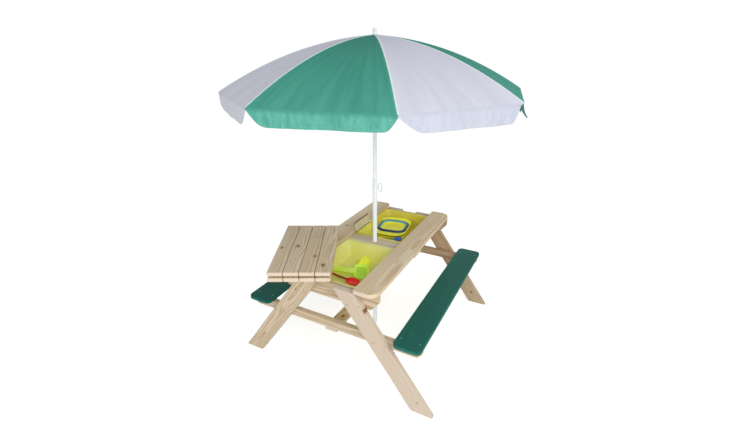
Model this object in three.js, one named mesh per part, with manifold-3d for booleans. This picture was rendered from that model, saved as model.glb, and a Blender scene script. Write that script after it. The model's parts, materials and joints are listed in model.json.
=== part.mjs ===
// Child's picnic table with two lift-out sand bins, two lift-off lids, two benches and a folding parasol.
// Millimetres, +Z up, X along the table, origin on the floor under the parasol pole.
// Near is -X, far is +X, right is -Y, left is +Y.

import * as THREE from 'three';
import Module from 'manifold-3d';
import { mergeVertices } from 'three/addons/utils/BufferGeometryUtils.js';

const wasm = await Module();
wasm.setup();

// Gaps between pieces
const fitGap = 0.3;
const polePlay = 0.5;
const clothGap = 1.1;
const weldDistance = 0.0005;
const cutOverrun = 5;

// Table top
const tableHeight = 502;
const tableLength = 890;
const tableWidth = 464;
const railWidth = 100;
const railThickness = 18;
const railOuterCorner = 42;
const railInnerCorner = 6;
const railOverhang = 4;
const woodEdge = 2.5;

// Boards under the top
const middleBoardWidth = 86;
const middleBoardThickness = 18;
const middleBoardInset = 6;
const endBoardThickness = 18;
const endBoardHeight = 72;
const endBoardCutRun = 34;
const endBoardCutRise = 41;

// Legs
const legWidth = 75;
const legThickness = 24;
const legTopSetback = 94;
const legFootSpread = 159;

// Benches and what carries them
const benchTopHeight = 310;
const benchThickness = 15;
const benchWidth = 118;
const benchLength = 900;
const benchGap = 70;
const benchCorner = 24;
const seatBeamHeight = 40;
const seatBeamThickness = 24;
const seatBeamEndInset = 4;
const seatBeamCut = 20;
const stretcherWidth = 56;
const stretcherThickness = 18;
const stretcherEndInset = 5;

// Sand bins
const binDepth = 88;
const binWall = 2.5;
const binFlangeThickness = 3;
const binMiddleSeat = 12;
const binEndSeat = 5.5;
const binFlangeCorner = 8;
const binBodyPlay = 3;
const binCorner = 26;
const binTaper = 9;
const binFloorCurve = 12;
const binSidePlay = 1.5;

// Lids
const plankWidth = 61;
const plankGap = 2;
const plankThickness = 17.5;
const lidLength = 446;
const battenThickness = 8;
const battenWidth = 30;
const battenEndInset = 5;
const battenNearInset = 70;
const battenFarInset = 110;
const planksPerLid = 4;
const lidStackX = -295;
const lidStackY = 186;
const lidStackTurn = THREE.MathUtils.degToRad(27.6);

// Parasol pole
const lowerPoleRadius = 10.5;
const lowerPoleWall = 1.5;
const lowerPoleTop = 795;
const upperPoleWall = 1.2;
const upperPoleBottom = 630;
const screwHeight = 760;
const screwRadius = 2.5;
const screwBossRadius = 5.5;
const screwBossLength = 3.5;
const screwLoopWidth = 22;
const screwLoopHeight = 42;
const screwLoopWire = 4.4;

// Canopy and ribs
const panelCount = 8;
const ribReach = 632;
const apexHeight = 1397;
const shoulderSlope = 0.059;
const ribBow = 43;
const clothThickness = 1.2;
const canopyEye = 8;
const valanceDepth = 60;
const valanceCorner = 6;
const valanceCornerShare = 0.14;
const valanceRipple = 3;
const panelSag = 5;
const seamGap = 0.2;
const firstRibAzimuth = THREE.MathUtils.degToRad(-146.7);
const ribWidth = 4;
const ribDepth = 5;
const ribEndInset = 5;
const hingeCircle = 16;
const hingePinRadius = 1;
const hingePinPlay = 0.3;
const lugReach = 250;
const lugDrop = 7;
const lugThickness = 1.6;
const lugRadius = 3;
const stretcherDepth = 4;
const forkCheek = 1.2;
const forkLength = 14;

// Crown, runner and finial
const crownRadius = 20;
const crownFlange = 8.5;
const crownHeight = 22;
const crownClothGap = 2.3;
const sleeveRadius = 11.5;
const runnerHeight = 26;
const runnerFlange = 9;
const slotFloorRadius = 12.5;
const finialRadius = 11;
const finialHeight = 26;
const finialNeckRadius = 7.5;
const finialKnobRadius = 8.5;
const finialStemRadius = 2.7;
const finialStemLength = 11;

// Sizes that follow from those above
const supportHeight = tableHeight - railThickness - fitGap;
const openingHalfWidth = tableWidth / 2 - railWidth;
const legTopInset = openingHalfWidth - legTopSetback;
const legFootInset = tableWidth / 2 + legFootSpread;
const benchInset = tableWidth / 2 + benchGap;
const legFaceX = tableLength / 2 - railOverhang;
const legInnerX = legFaceX - legThickness;
const endBoardInnerX = legInnerX - fitGap - endBoardThickness;
const seatBeamTop = benchTopHeight - benchThickness - fitGap;
const seatBeamBottom = seatBeamTop - seatBeamHeight;
const poleHoleRadius = lowerPoleRadius + polePlay;
const upperPoleRadius = lowerPoleRadius - lowerPoleWall - fitGap;
const binSeatDepth = binFlangeThickness + fitGap;
const halfPanelAngle = Math.PI / panelCount;

// Finishes
const finishes = {
  pine: { color: 0xd9c6a0, roughness: 0.7, metalness: 0 },
  benchPaint: { color: 0x1f5d50, roughness: 0.5, metalness: 0 },
  binPlastic: { color: 0xcfcc5a, roughness: 0.4, metalness: 0 },
  polePaint: { color: 0xe4e6ea, roughness: 0.35, metalness: 0.1 },
  whitePlastic: { color: 0xeeeeee, roughness: 0.45, metalness: 0 },
  ribSteel: { color: 0xc9ccd0, roughness: 0.4, metalness: 0.6 },
  greenCloth: { color: 0x3f9a85, roughness: 0.85, metalness: 0 },
  whiteCloth: { color: 0xd6d8e4, roughness: 0.85, metalness: 0 },
};

// Geometry helpers
function signedVolume(points, faces) {
  const a = new THREE.Vector3();
  const b = new THREE.Vector3();
  const c = new THREE.Vector3();
  let volume = 0;
  for (let i = 0; i < faces.length; i += 3) {
    a.fromBufferAttribute(points, faces[i]);
    b.fromBufferAttribute(points, faces[i + 1]);
    c.fromBufferAttribute(points, faces[i + 2]);
    volume += a.dot(b.cross(c)) / 6;
  }
  return volume;
}

// Welds the corners, drops faces that have shrunk to a line and turns every face outwards
function welded(geometry) {
  const bare = geometry.clone();
  bare.deleteAttribute('normal');
  bare.deleteAttribute('uv');
  const merged = mergeVertices(bare, weldDistance);
  const source = merged.index.array;
  const faces = [];
  for (let i = 0; i < source.length; i += 3) {
    const [a, b, c] = [source[i], source[i + 1], source[i + 2]];
    if (a !== b && b !== c && c !== a) faces.push(a, b, c);
  }
  if (signedVolume(merged.attributes.position, faces) < 0) faces.reverse();
  merged.setIndex(faces);
  merged.computeVertexNormals();
  return merged;
}

function solidOf(geometry) {
  const clean = welded(geometry);
  const mesh = new wasm.Mesh({
    numProp: 3,
    vertProperties: Float32Array.from(clean.attributes.position.array),
    triVerts: Uint32Array.from(clean.index.array),
  });
  return new wasm.Manifold(mesh);
}

function geometryOf(solid) {
  const mesh = solid.getMesh();
  const geometry = new THREE.BufferGeometry();
  geometry.setAttribute('position', new THREE.BufferAttribute(Float32Array.from(mesh.vertProperties), 3));
  geometry.setIndex(Array.from(mesh.triVerts));
  geometry.computeVertexNormals();
  return geometry;
}

function cutAway(geometry, ...tools) {
  return geometryOf(tools.reduce((solid, tool) => solid.subtract(solidOf(tool)), solidOf(geometry)));
}

function joined(geometry, ...others) {
  return geometryOf(others.reduce((solid, other) => solid.add(solidOf(other)), solidOf(geometry)));
}

// A box from its middle in X and Y, its underside and its three sizes
function block(x, y, bottom, lengthX, lengthY, height) {
  return new THREE.BoxGeometry(lengthX, lengthY, height).translate(x, y, bottom + height / 2);
}

function uprightRod(radius, bottom, height, sides) {
  const rod = new THREE.CylinderGeometry(radius, radius, height, sides);
  return rod.rotateX(Math.PI / 2).translate(0, 0, bottom + height / 2);
}

// A rod across the radial plane, along Y
function crossPin(radius, x, z, length, sides) {
  return new THREE.CylinderGeometry(radius, radius, length, sides).translate(x, 0, z);
}

// A turned piece from a list of radius and height pairs
function turned(profile, segments) {
  const points = profile.map(([radius, height]) => new THREE.Vector2(radius, height));
  return welded(new THREE.LatheGeometry(points, segments).rotateX(Math.PI / 2));
}

function pipe(outerRadius, wall, bottom, top, segments) {
  const inner = outerRadius - wall;
  return turned([[inner, bottom], [outerRadius, bottom], [outerRadius, top], [inner, top], [inner, bottom]],
    segments);
}

// A straight-sided outline with its corners in order
function cornered(corners) {
  return new THREE.Shape(corners.map(([x, y]) => new THREE.Vector2(x, y)));
}

// A rectangle about its middle, with square corners
function rectangle(lengthX, lengthY) {
  const x = lengthX / 2;
  const y = lengthY / 2;
  return cornered([[-x, -y], [x, -y], [x, y], [-x, y]]);
}

// The same with the radius of each corner from -X-Y round to -X+Y
function roundedRectangle(lengthX, lengthY, radii) {
  const [a, b, c, d] = radii;
  const x = lengthX / 2;
  const y = lengthY / 2;
  const shape = new THREE.Shape();
  shape.moveTo(-x + a, -y);
  shape.lineTo(x - b, -y);
  shape.absarc(x - b, -y + b, b, -Math.PI / 2, 0, false);
  shape.lineTo(x, y - c);
  shape.absarc(x - c, y - c, c, 0, Math.PI / 2, false);
  shape.lineTo(-x + d, y);
  shape.absarc(-x + d, y - d, d, Math.PI / 2, Math.PI, false);
  shape.lineTo(-x, -y + a);
  shape.absarc(-x + a, -y + a, a, Math.PI, Math.PI * 1.5, false);
  return shape;
}

// A sawn board with rounded arrises, lying on Z = 0
function board(shape, thickness, edge) {
  const geometry = new THREE.ExtrudeGeometry(shape, {
    depth: thickness - 2 * edge,
    bevelThickness: edge,
    bevelSize: edge,
    bevelOffset: -edge,
    bevelSegments: 1,
    curveSegments: 6,
  });
  return geometry.translate(0, 0, edge);
}

function plainBoard(shape, thickness) {
  return new THREE.ExtrudeGeometry(shape, { depth: thickness, bevelEnabled: false, curveSegments: 5 });
}

// Stands a board up: its outline lies in Y and Z and its thickness runs along +X
function acrossTable(geometry) {
  const basis = new THREE.Matrix4().makeBasis(
    new THREE.Vector3(0, 1, 0), new THREE.Vector3(0, 0, 1), new THREE.Vector3(1, 0, 0));
  return geometry.applyMatrix4(basis);
}

// Stands an outline up in the radial plane: X out from the pole, Z up, centred on Y = 0
function inRadialPlane(geometry, thickness) {
  const basis = new THREE.Matrix4().makeBasis(
    new THREE.Vector3(1, 0, 0), new THREE.Vector3(0, 0, 1), new THREE.Vector3(0, -1, 0));
  return geometry.applyMatrix4(basis).translate(0, thickness / 2, 0);
}

// Joins rings of equally many points by a skin; the ends are closed, or the last ring meets the first
function lofted(rings, endless) {
  const count = rings[0].length;
  const points = rings.flat();
  const faces = [];
  const spans = endless ? rings.length : rings.length - 1;
  for (let i = 0; i < spans; i += 1) {
    const here = i * count;
    const next = ((i + 1) % rings.length) * count;
    for (let j = 0; j < count; j += 1) {
      const k = (j + 1) % count;
      faces.push(here + j, here + k, next + k, here + j, next + k, next + j);
    }
  }
  if (!endless) {
    const closeEnd = (ring, first, reversed) => {
      const centre = ring.reduce((sum, p) => sum.add(p), new THREE.Vector3()).divideScalar(count);
      points.push(centre);
      for (let j = 0; j < count; j += 1) {
        const k = (j + 1) % count;
        faces.push(points.length - 1, first + (reversed ? k : j), first + (reversed ? j : k));
      }
    };
    closeEnd(rings[0], 0, true);
    closeEnd(rings[rings.length - 1], (rings.length - 1) * count, false);
  }
  const geometry = new THREE.BufferGeometry().setFromPoints(points);
  geometry.setIndex(faces);
  return welded(geometry);
}

const model = new THREE.Group();

function add(name, geometry, finish, place = model) {
  const mesh = new THREE.Mesh(geometry, new THREE.MeshStandardMaterial(finishes[finish]));
  mesh.name = name;
  place.add(mesh);
  return mesh;
}

// Rails: the two long boards of the top, with big outer corners
function addRails() {
  const shape = roundedRectangle(tableLength, railWidth,
    [railOuterCorner, railOuterCorner, railInnerCorner, railInnerCorner]);
  const railMiddle = openingHalfWidth + railWidth / 2;
  for (const [name, side] of [['rail_right', -1], ['rail_left', 1]]) {
    const rail = add(name, board(shape, railThickness, woodEdge), 'pine');
    rail.position.set(0, side * railMiddle, tableHeight - railThickness);
    rail.rotation.z = side < 0 ? 0 : Math.PI;
  }
}

// Middle board: crosses under both rails, is bored for the pole and rebated for the bins' flanges
function addMiddleBoard() {
  const length = tableWidth - 2 * middleBoardInset;
  const bottom = supportHeight - middleBoardThickness;
  const blank = board(rectangle(middleBoardWidth, length), middleBoardThickness, woodEdge)
    .translate(0, 0, bottom);
  const seatX = (middleBoardWidth - binMiddleSeat) / 2;
  const seats = [-1, 1].map((side) => block(side * (seatX + cutOverrun / 2), 0, supportHeight - binSeatDepth,
    binMiddleSeat + cutOverrun, 2 * openingHalfWidth, binSeatDepth + cutOverrun));
  const bore = uprightRod(poleHoleRadius, bottom - cutOverrun, middleBoardThickness + 2 * cutOverrun, 32);
  add('middle_board', cutAway(blank, ...seats, bore), 'pine');
}

// End boards: on edge behind the legs, with their lower corners cut off and a rebate for the bin's flange
function addEndBoards() {
  const halfLength = tableWidth / 2;
  const bottom = supportHeight - endBoardHeight;
  const shape = cornered([
    [-halfLength + endBoardCutRun, bottom],
    [halfLength - endBoardCutRun, bottom],
    [halfLength, bottom + endBoardCutRise],
    [halfLength, supportHeight],
    [-halfLength, supportHeight],
    [-halfLength, bottom + endBoardCutRise],
  ]);
  const seat = block(endBoardInnerX + (binEndSeat - cutOverrun) / 2, 0, supportHeight - binSeatDepth,
    binEndSeat + cutOverrun, 2 * openingHalfWidth, binSeatDepth + cutOverrun);
  for (const [name, turn] of [['end_board_far', 0], ['end_board_near', Math.PI]]) {
    const blank = acrossTable(board(shape, endBoardThickness, woodEdge)).translate(endBoardInnerX, 0, 0);
    add(name, cutAway(blank, seat), 'pine').rotation.z = turn;
  }
}

// Legs: slanted boards outside the end boards, cut level at the floor and under the lids
function addLegs() {
  const slant = Math.atan((legFootInset - legTopInset) / supportHeight);
  const cutWidth = legWidth / Math.cos(slant);
  for (const side of [-1, 1]) {
    const shape = cornered([
      [side * legFootInset, 0],
      [side * (legFootInset + cutWidth), 0],
      [side * (legTopInset + cutWidth), supportHeight],
      [side * legTopInset, supportHeight],
    ]);
    const names = side > 0 ? ['leg_far_left', 'leg_near_right'] : ['leg_far_right', 'leg_near_left'];
    names.forEach((name, index) => {
      const leg = acrossTable(board(shape, legThickness, woodEdge)).translate(legInnerX, 0, 0);
      add(name, leg, 'pine').rotation.z = index * Math.PI;
    });
  }
}

// Seat beams: on edge inside the legs, under both benches, with their lower ends cut off
function addSeatBeams() {
  const halfLength = benchInset + benchWidth - seatBeamEndInset;
  const shape = cornered([
    [-halfLength + seatBeamCut, seatBeamBottom],
    [halfLength - seatBeamCut, seatBeamBottom],
    [halfLength, seatBeamBottom + seatBeamCut],
    [halfLength, seatBeamTop],
    [-halfLength, seatBeamTop],
    [-halfLength, seatBeamBottom + seatBeamCut],
  ]);
  const innerX = legInnerX - fitGap - seatBeamThickness;
  for (const [name, turn] of [['seat_beam_far', 0], ['seat_beam_near', Math.PI]]) {
    const beam = acrossTable(board(shape, seatBeamThickness, woodEdge)).translate(innerX, 0, 0);
    add(name, beam, 'pine').rotation.z = turn;
  }
}

// Stretcher: lies flat under the two seat beams and steadies the foot of the pole
function addStretcher() {
  const length = 2 * (legInnerX - stretcherEndInset);
  const bottom = seatBeamBottom - fitGap - stretcherThickness;
  const blank = board(rectangle(length, stretcherWidth), stretcherThickness, woodEdge)
    .translate(0, 0, bottom);
  const bore = uprightRod(poleHoleRadius, bottom - cutOverrun, stretcherThickness + 2 * cutOverrun, 32);
  add('stretcher', cutAway(blank, bore), 'pine');
}

function addBenches() {
  const shape = roundedRectangle(benchLength, benchWidth, [benchCorner, benchCorner, benchCorner, benchCorner]);
  for (const [name, side] of [['bench_right', -1], ['bench_left', 1]]) {
    const bench = add(name, board(shape, benchThickness, woodEdge), 'benchPaint');
    bench.position.set(0, side * (benchInset + benchWidth / 2), benchTopHeight - benchThickness);
  }
}

// Points round a rectangle with round corners, at one height
function binRing(middleX, lengthX, lengthY, corner, z) {
  const ring = [];
  const steps = 5;
  for (const [signX, signY, start] of [[1, 1, 0], [-1, 1, 0.5], [-1, -1, 1], [1, -1, 1.5]]) {
    for (let i = 0; i <= steps; i += 1) {
      const angle = Math.PI * (start + i / steps / 2);
      ring.push(new THREE.Vector3(
        middleX + signX * (lengthX / 2 - corner) + corner * Math.cos(angle),
        signY * (lengthY / 2 - corner) + corner * Math.sin(angle), z));
    }
  }
  return ring;
}

// Bins: moulded tubs that hang by their flange between the middle board and an end board
function addBins() {
  const flangeInner = middleBoardWidth / 2 - binMiddleSeat + fitGap;
  const flangeOuter = endBoardInnerX + binEndSeat - fitGap;
  const bodyInner = middleBoardWidth / 2 + binBodyPlay;
  const bodyOuter = endBoardInnerX - binBodyPlay;
  const bodyMiddle = (bodyInner + bodyOuter) / 2;
  const flangeMiddle = (flangeInner + flangeOuter) / 2;
  const flangeX = flangeOuter - flangeInner;
  const flangeY = 2 * (openingHalfWidth - binSidePlay);
  const bodyX = bodyOuter - bodyInner;
  const bodyY = 2 * (openingHalfWidth - binSidePlay - binBodyPlay);
  const flangeBottom = supportHeight - binFlangeThickness;
  const floor = supportHeight - binDepth;
  const wallHeight = flangeBottom - floor;
  const skin = (inset, lift) => {
    const curve = binFloorCurve - inset;
    const ringAt = (z, extra) => {
      const shrink = inset + extra + binTaper * Math.min((flangeBottom - z) / wallHeight, 1);
      return binRing(bodyMiddle, bodyX - 2 * shrink, bodyY - 2 * shrink, binCorner - inset - extra / 2, z);
    };
    const low = floor + lift;
    return [0, 1, 2, 3].map((i) => {
      const angle = (Math.PI / 6) * i;
      return ringAt(low + curve * (1 - Math.cos(angle)), curve * (1 - Math.sin(angle)));
    });
  };
  const outside = skin(0, 0);
  const inside = skin(binWall, binWall).reverse();
  const rings = [
    ...outside,
    binRing(bodyMiddle, bodyX, bodyY, binCorner, flangeBottom),
    binRing(flangeMiddle, flangeX, flangeY, binFlangeCorner, flangeBottom),
    binRing(flangeMiddle, flangeX, flangeY, binFlangeCorner, supportHeight),
    binRing(bodyMiddle, bodyX - 2 * binWall, bodyY - 2 * binWall, binCorner - binWall, supportHeight),
    ...inside,
  ];
  const tub = lofted(rings, false);
  for (const [name, turn] of [['sand_bin_far', 0], ['sand_bin_near', Math.PI]]) {
    add(name, tub.clone(), 'binPlastic').rotation.z = turn;
  }
}

// One lid about its middle: planks side by side over two cross battens of unequal inset
function addLid(name, planksBottom, battensBottom, turn) {
  const lid = new THREE.Group();
  lid.position.set(lidStackX, lidStackY, 0);
  lid.rotation.z = lidStackTurn + turn;
  model.add(lid);
  const pitch = plankWidth + plankGap;
  const plankShape = rectangle(lidLength, plankWidth);
  for (let i = 0; i < planksPerLid; i += 1) {
    const plank = add(`${name}_plank_${i + 1}`, board(plankShape, plankThickness, woodEdge), 'pine', lid);
    plank.position.set(0, (i - (planksPerLid - 1) / 2) * pitch, planksBottom);
  }
  const battenLength = planksPerLid * pitch - plankGap - 2 * battenEndInset;
  const battenShape = rectangle(battenWidth, battenLength);
  const places = [battenNearInset - lidLength / 2, lidLength / 2 - battenFarInset];
  places.forEach((x, index) => {
    const batten = add(`${name}_batten_${index + 1}`, plainBoard(battenShape, battenThickness), 'pine', lid);
    batten.position.set(x, 0, battensBottom);
  });
}

// Lids: stacked on the left rail, the lower one face down, so both pairs of battens share one layer
function addLids() {
  const lowerPlanks = tableHeight + fitGap;
  const battens = lowerPlanks + plankThickness + fitGap;
  const upperPlanks = battens + battenThickness + fitGap;
  addLid('lid_lower', lowerPlanks, battens, 0);
  addLid('lid_upper', upperPlanks, battens, Math.PI);
}

// Height of the cloth's upper face over a rib, from the pole outwards
function canopyHeight(reach) {
  const curve = (4 * ribBow) / ribReach ** 2;
  return apexHeight - shoulderSlope * reach - curve * reach ** 2;
}

function canopySlope(reach) {
  return shoulderSlope + (8 * ribBow * reach) / ribReach ** 2;
}

// A point a given depth under the cloth's upper face, square to the rib
function underCanopy(reach, depth) {
  const slope = canopySlope(reach);
  const length = Math.hypot(1, slope);
  return new THREE.Vector2(reach - (depth * slope) / length, canopyHeight(reach) - depth / length);
}

const ribTopDepth = clothThickness + clothGap;
const ribMiddleDepth = ribTopDepth + ribDepth / 2;
const ribHinge = underCanopy(hingeCircle, ribMiddleDepth);
const lugPivot = underCanopy(lugReach, ribMiddleDepth + lugDrop);
const linkLength = ribHinge.distanceTo(lugPivot);
const linkAngle = Math.atan2(lugPivot.x - ribHinge.x, ribHinge.y - lugPivot.y);
const runnerPivotHeight = ribHinge.y - 2 * linkLength * Math.cos(linkAngle);
const forkWidth = lugThickness + 2 * (fitGap + forkCheek);
const crownTop = apexHeight - crownClothGap - clothThickness;

// Rib: a bowed bar with a round eye at the crown and a drilled lug for the stretcher's fork
function ribGeometry() {
  const outline = [];
  const steps = 12;
  const tip = ribReach - ribEndInset;
  for (let i = 0; i <= steps; i += 1) {
    outline.push(underCanopy(hingeCircle + ((tip - hingeCircle) * i) / steps, ribTopDepth));
  }
  for (let i = steps; i >= 0; i -= 1) {
    outline.push(underCanopy(hingeCircle + ((tip - hingeCircle) * i) / steps, ribTopDepth + ribDepth));
  }
  const start = Math.PI * 1.5 - Math.atan(canopySlope(hingeCircle));
  for (let i = 1; i < 6; i += 1) {
    const angle = start - (Math.PI * i) / 6;
    outline.push(new THREE.Vector2(
      ribHinge.x + (ribDepth / 2) * Math.cos(angle), ribHinge.y + (ribDepth / 2) * Math.sin(angle)));
  }
  const bar = inRadialPlane(plainBoard(new THREE.Shape(outline), ribWidth), ribWidth);
  const lugShape = new THREE.Shape();
  const lugTop = underCanopy(lugReach, ribMiddleDepth);
  const tilt = Math.atan(canopySlope(lugReach));
  lugShape.absarc(lugPivot.x, lugPivot.y, lugRadius, Math.PI - tilt, 2 * Math.PI - tilt, false);
  const side = new THREE.Vector2(Math.cos(tilt), -Math.sin(tilt)).multiplyScalar(lugRadius);
  lugShape.lineTo(lugTop.x + side.x, lugTop.y + side.y);
  lugShape.lineTo(lugTop.x - side.x, lugTop.y - side.y);
  const lug = inRadialPlane(plainBoard(lugShape, lugThickness), lugThickness);
  const drill = hingePinRadius + hingePinPlay;
  const crownHole = crossPin(drill, ribHinge.x, ribHinge.y, ribWidth + 2 * cutOverrun, 10);
  const lugHole = crossPin(drill, lugPivot.x, lugPivot.y, lugThickness + 2 * cutOverrun, 10);
  return cutAway(joined(bar, lug), crownHole, lugHole);
}

// Stretcher: a straight bar whose forked end holds the rib's lug on a pin
function linkGeometry() {
  const half = stretcherDepth / 2;
  const shape = new THREE.Shape();
  shape.absarc(0, 0, half, -Math.PI / 2, Math.PI / 2, true);
  shape.lineTo(linkLength, half);
  shape.absarc(linkLength, 0, half, Math.PI / 2, -Math.PI / 2, true);
  const bar = inRadialPlane(plainBoard(shape, forkWidth), forkWidth);
  const mouth = block(linkLength - forkLength / 2 + cutOverrun, 0, -cutOverrun,
    forkLength + 2 * cutOverrun, lugThickness + 2 * fitGap, 2 * cutOverrun);
  const pin = crossPin(hingePinRadius, linkLength, 0, forkWidth - forkCheek, 8);
  const link = joined(cutAway(bar, mouth), pin);
  return link.rotateY(linkAngle - Math.PI / 2).translate(ribHinge.x, 0, runnerPivotHeight);
}

// Slots open above, below and outwards, one for each rib
function slots(width, bottom, top) {
  const length = crownRadius - slotFloorRadius + cutOverrun;
  const tools = [];
  for (let i = 0; i < panelCount; i += 1) {
    const slot = block(slotFloorRadius + length / 2, 0, bottom - cutOverrun,
      length, width, top - bottom + 2 * cutOverrun);
    tools.push(slot.rotateZ(firstRibAzimuth + 2 * halfPanelAngle * i));
  }
  return tools;
}

// Crown: a moulded cap on the pole, slotted for the ribs, which turn on pins across the slots
function addCrown() {
  const bottom = crownTop - crownHeight;
  const socket = upperPoleRadius + fitGap;
  const body = turned([
    [0, bottom], [sleeveRadius, bottom], [sleeveRadius, crownTop - crownFlange],
    [crownRadius, crownTop - crownFlange], [crownRadius, crownTop], [0, crownTop],
  ], 32);
  const poleSocket = uprightRod(socket, bottom - cutOverrun,
    crownHeight - crownFlange + cutOverrun, 32);
  const stemHole = uprightRod(finialStemRadius + fitGap, bottom, crownHeight + cutOverrun, 16);
  const slotWidth = ribWidth + 2 * fitGap;
  const crown = cutAway(body, poleSocket, stemHole, ...slots(slotWidth, crownTop - crownFlange, crownTop));
  const pins = [];
  for (let i = 0; i < panelCount; i += 1) {
    const pin = crossPin(hingePinRadius, ribHinge.x, ribHinge.y, slotWidth + 2 * hingePinRadius, 8);
    pins.push(pin.rotateZ(firstRibAzimuth + 2 * halfPanelAngle * i));
  }
  add('crown', joined(crown, ...pins), 'whitePlastic');
}

// Runner: slides on the upper pole and takes the stretchers' ends in its slots
function addRunner() {
  const bore = upperPoleRadius + fitGap;
  const bottom = runnerPivotHeight - runnerHeight / 2;
  const top = runnerPivotHeight + runnerHeight / 2;
  const low = runnerPivotHeight - runnerFlange / 2;
  const high = runnerPivotHeight + runnerFlange / 2;
  const body = turned([
    [bore, bottom], [sleeveRadius, bottom], [sleeveRadius, low], [crownRadius, low],
    [crownRadius, high], [sleeveRadius, high], [sleeveRadius, top], [bore, top], [bore, bottom],
  ], 32);
  add('runner', cutAway(body, ...slots(forkWidth + 2 * fitGap, low, high)), 'whitePlastic');
}

// Finial: clamps the cloth on the crown, with a stem in the crown's hole
function addFinial() {
  const flangeTop = apexHeight + finialHeight / 8;
  const knobMiddle = apexHeight + finialHeight - finialKnobRadius;
  const profile = [
    [0, apexHeight - finialStemLength], [finialStemRadius, apexHeight - finialStemLength],
    [finialStemRadius, apexHeight], [finialRadius, apexHeight], [finialRadius, flangeTop],
    [finialNeckRadius, apexHeight + finialHeight / 4],
  ];
  for (let i = 0; i <= 8; i += 1) {
    const angle = -Math.PI / 8 + ((Math.PI * 5) / 8) * (i / 8);
    const radius = i === 8 ? 0 : finialKnobRadius * Math.cos(angle);
    profile.push([radius, knobMiddle + finialKnobRadius * Math.sin(angle)]);
  }
  add('finial', turned(profile, 20), 'whitePlastic');
}

// Poles: two tubes, one sliding in the other, with a drilled boss for the thumb screw on the lower one
function addPoles() {
  const screwAzimuth = firstRibAzimuth + 3 * halfPanelAngle;
  const bossEnd = lowerPoleRadius + screwBossLength;
  const bossLength = screwBossLength + lowerPoleWall / 2;
  const radialRod = (radius, start, length, sides) => new THREE.CylinderGeometry(radius, radius, length, sides)
    .rotateZ(Math.PI / 2).translate(start + length / 2, 0, screwHeight);
  const boss = radialRod(screwBossRadius, bossEnd - bossLength, bossLength, 6);
  const drill = radialRod(screwRadius + fitGap, 0, bossEnd + cutOverrun, 16);
  const tube = pipe(lowerPoleRadius, lowerPoleWall, 0, lowerPoleTop, 24);
  const lowerPole = add('lower_pole', cutAway(joined(tube, boss), drill), 'polePaint');
  lowerPole.rotation.z = screwAzimuth;

  const upperTop = crownTop - crownFlange - fitGap;
  add('upper_pole', pipe(upperPoleRadius, upperPoleWall, upperPoleBottom, upperTop, 24), 'polePaint');

  const wire = screwLoopWire / 2;
  const loopMiddle = bossEnd + fitGap + screwLoopWidth / 2;
  const rings = [];
  const steps = 24;
  for (let i = 0; i < steps; i += 1) {
    const turn = (2 * Math.PI * i) / steps;
    const ring = [];
    for (let j = 0; j < 8; j += 1) {
      const around = (2 * Math.PI * j) / 8;
      const radial = screwLoopWidth / 2 - wire + wire * Math.cos(around);
      const upward = screwLoopHeight / 2 - wire + wire * Math.cos(around);
      ring.push(new THREE.Vector3(loopMiddle + radial * Math.cos(turn), wire * Math.sin(around),
        screwHeight + upward * Math.sin(turn)));
    }
    rings.push(ring);
  }
  const shankStart = upperPoleRadius + fitGap;
  const shank = radialRod(screwRadius, shankStart, bossEnd + fitGap + wire - shankStart, 16);
  add('thumb_screw', joined(lofted(rings, true), shank), 'whitePlastic').rotation.z = screwAzimuth;
}

// Share of the valance's full depth across a panel: its lower corners are cut off in a curve
function valanceShare(across) {
  const fromEdge = Math.min(across, 1 - across) / valanceCornerShare;
  return fromEdge >= 1 ? 1 : Math.sin((fromEdge * Math.PI) / 2);
}

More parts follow.
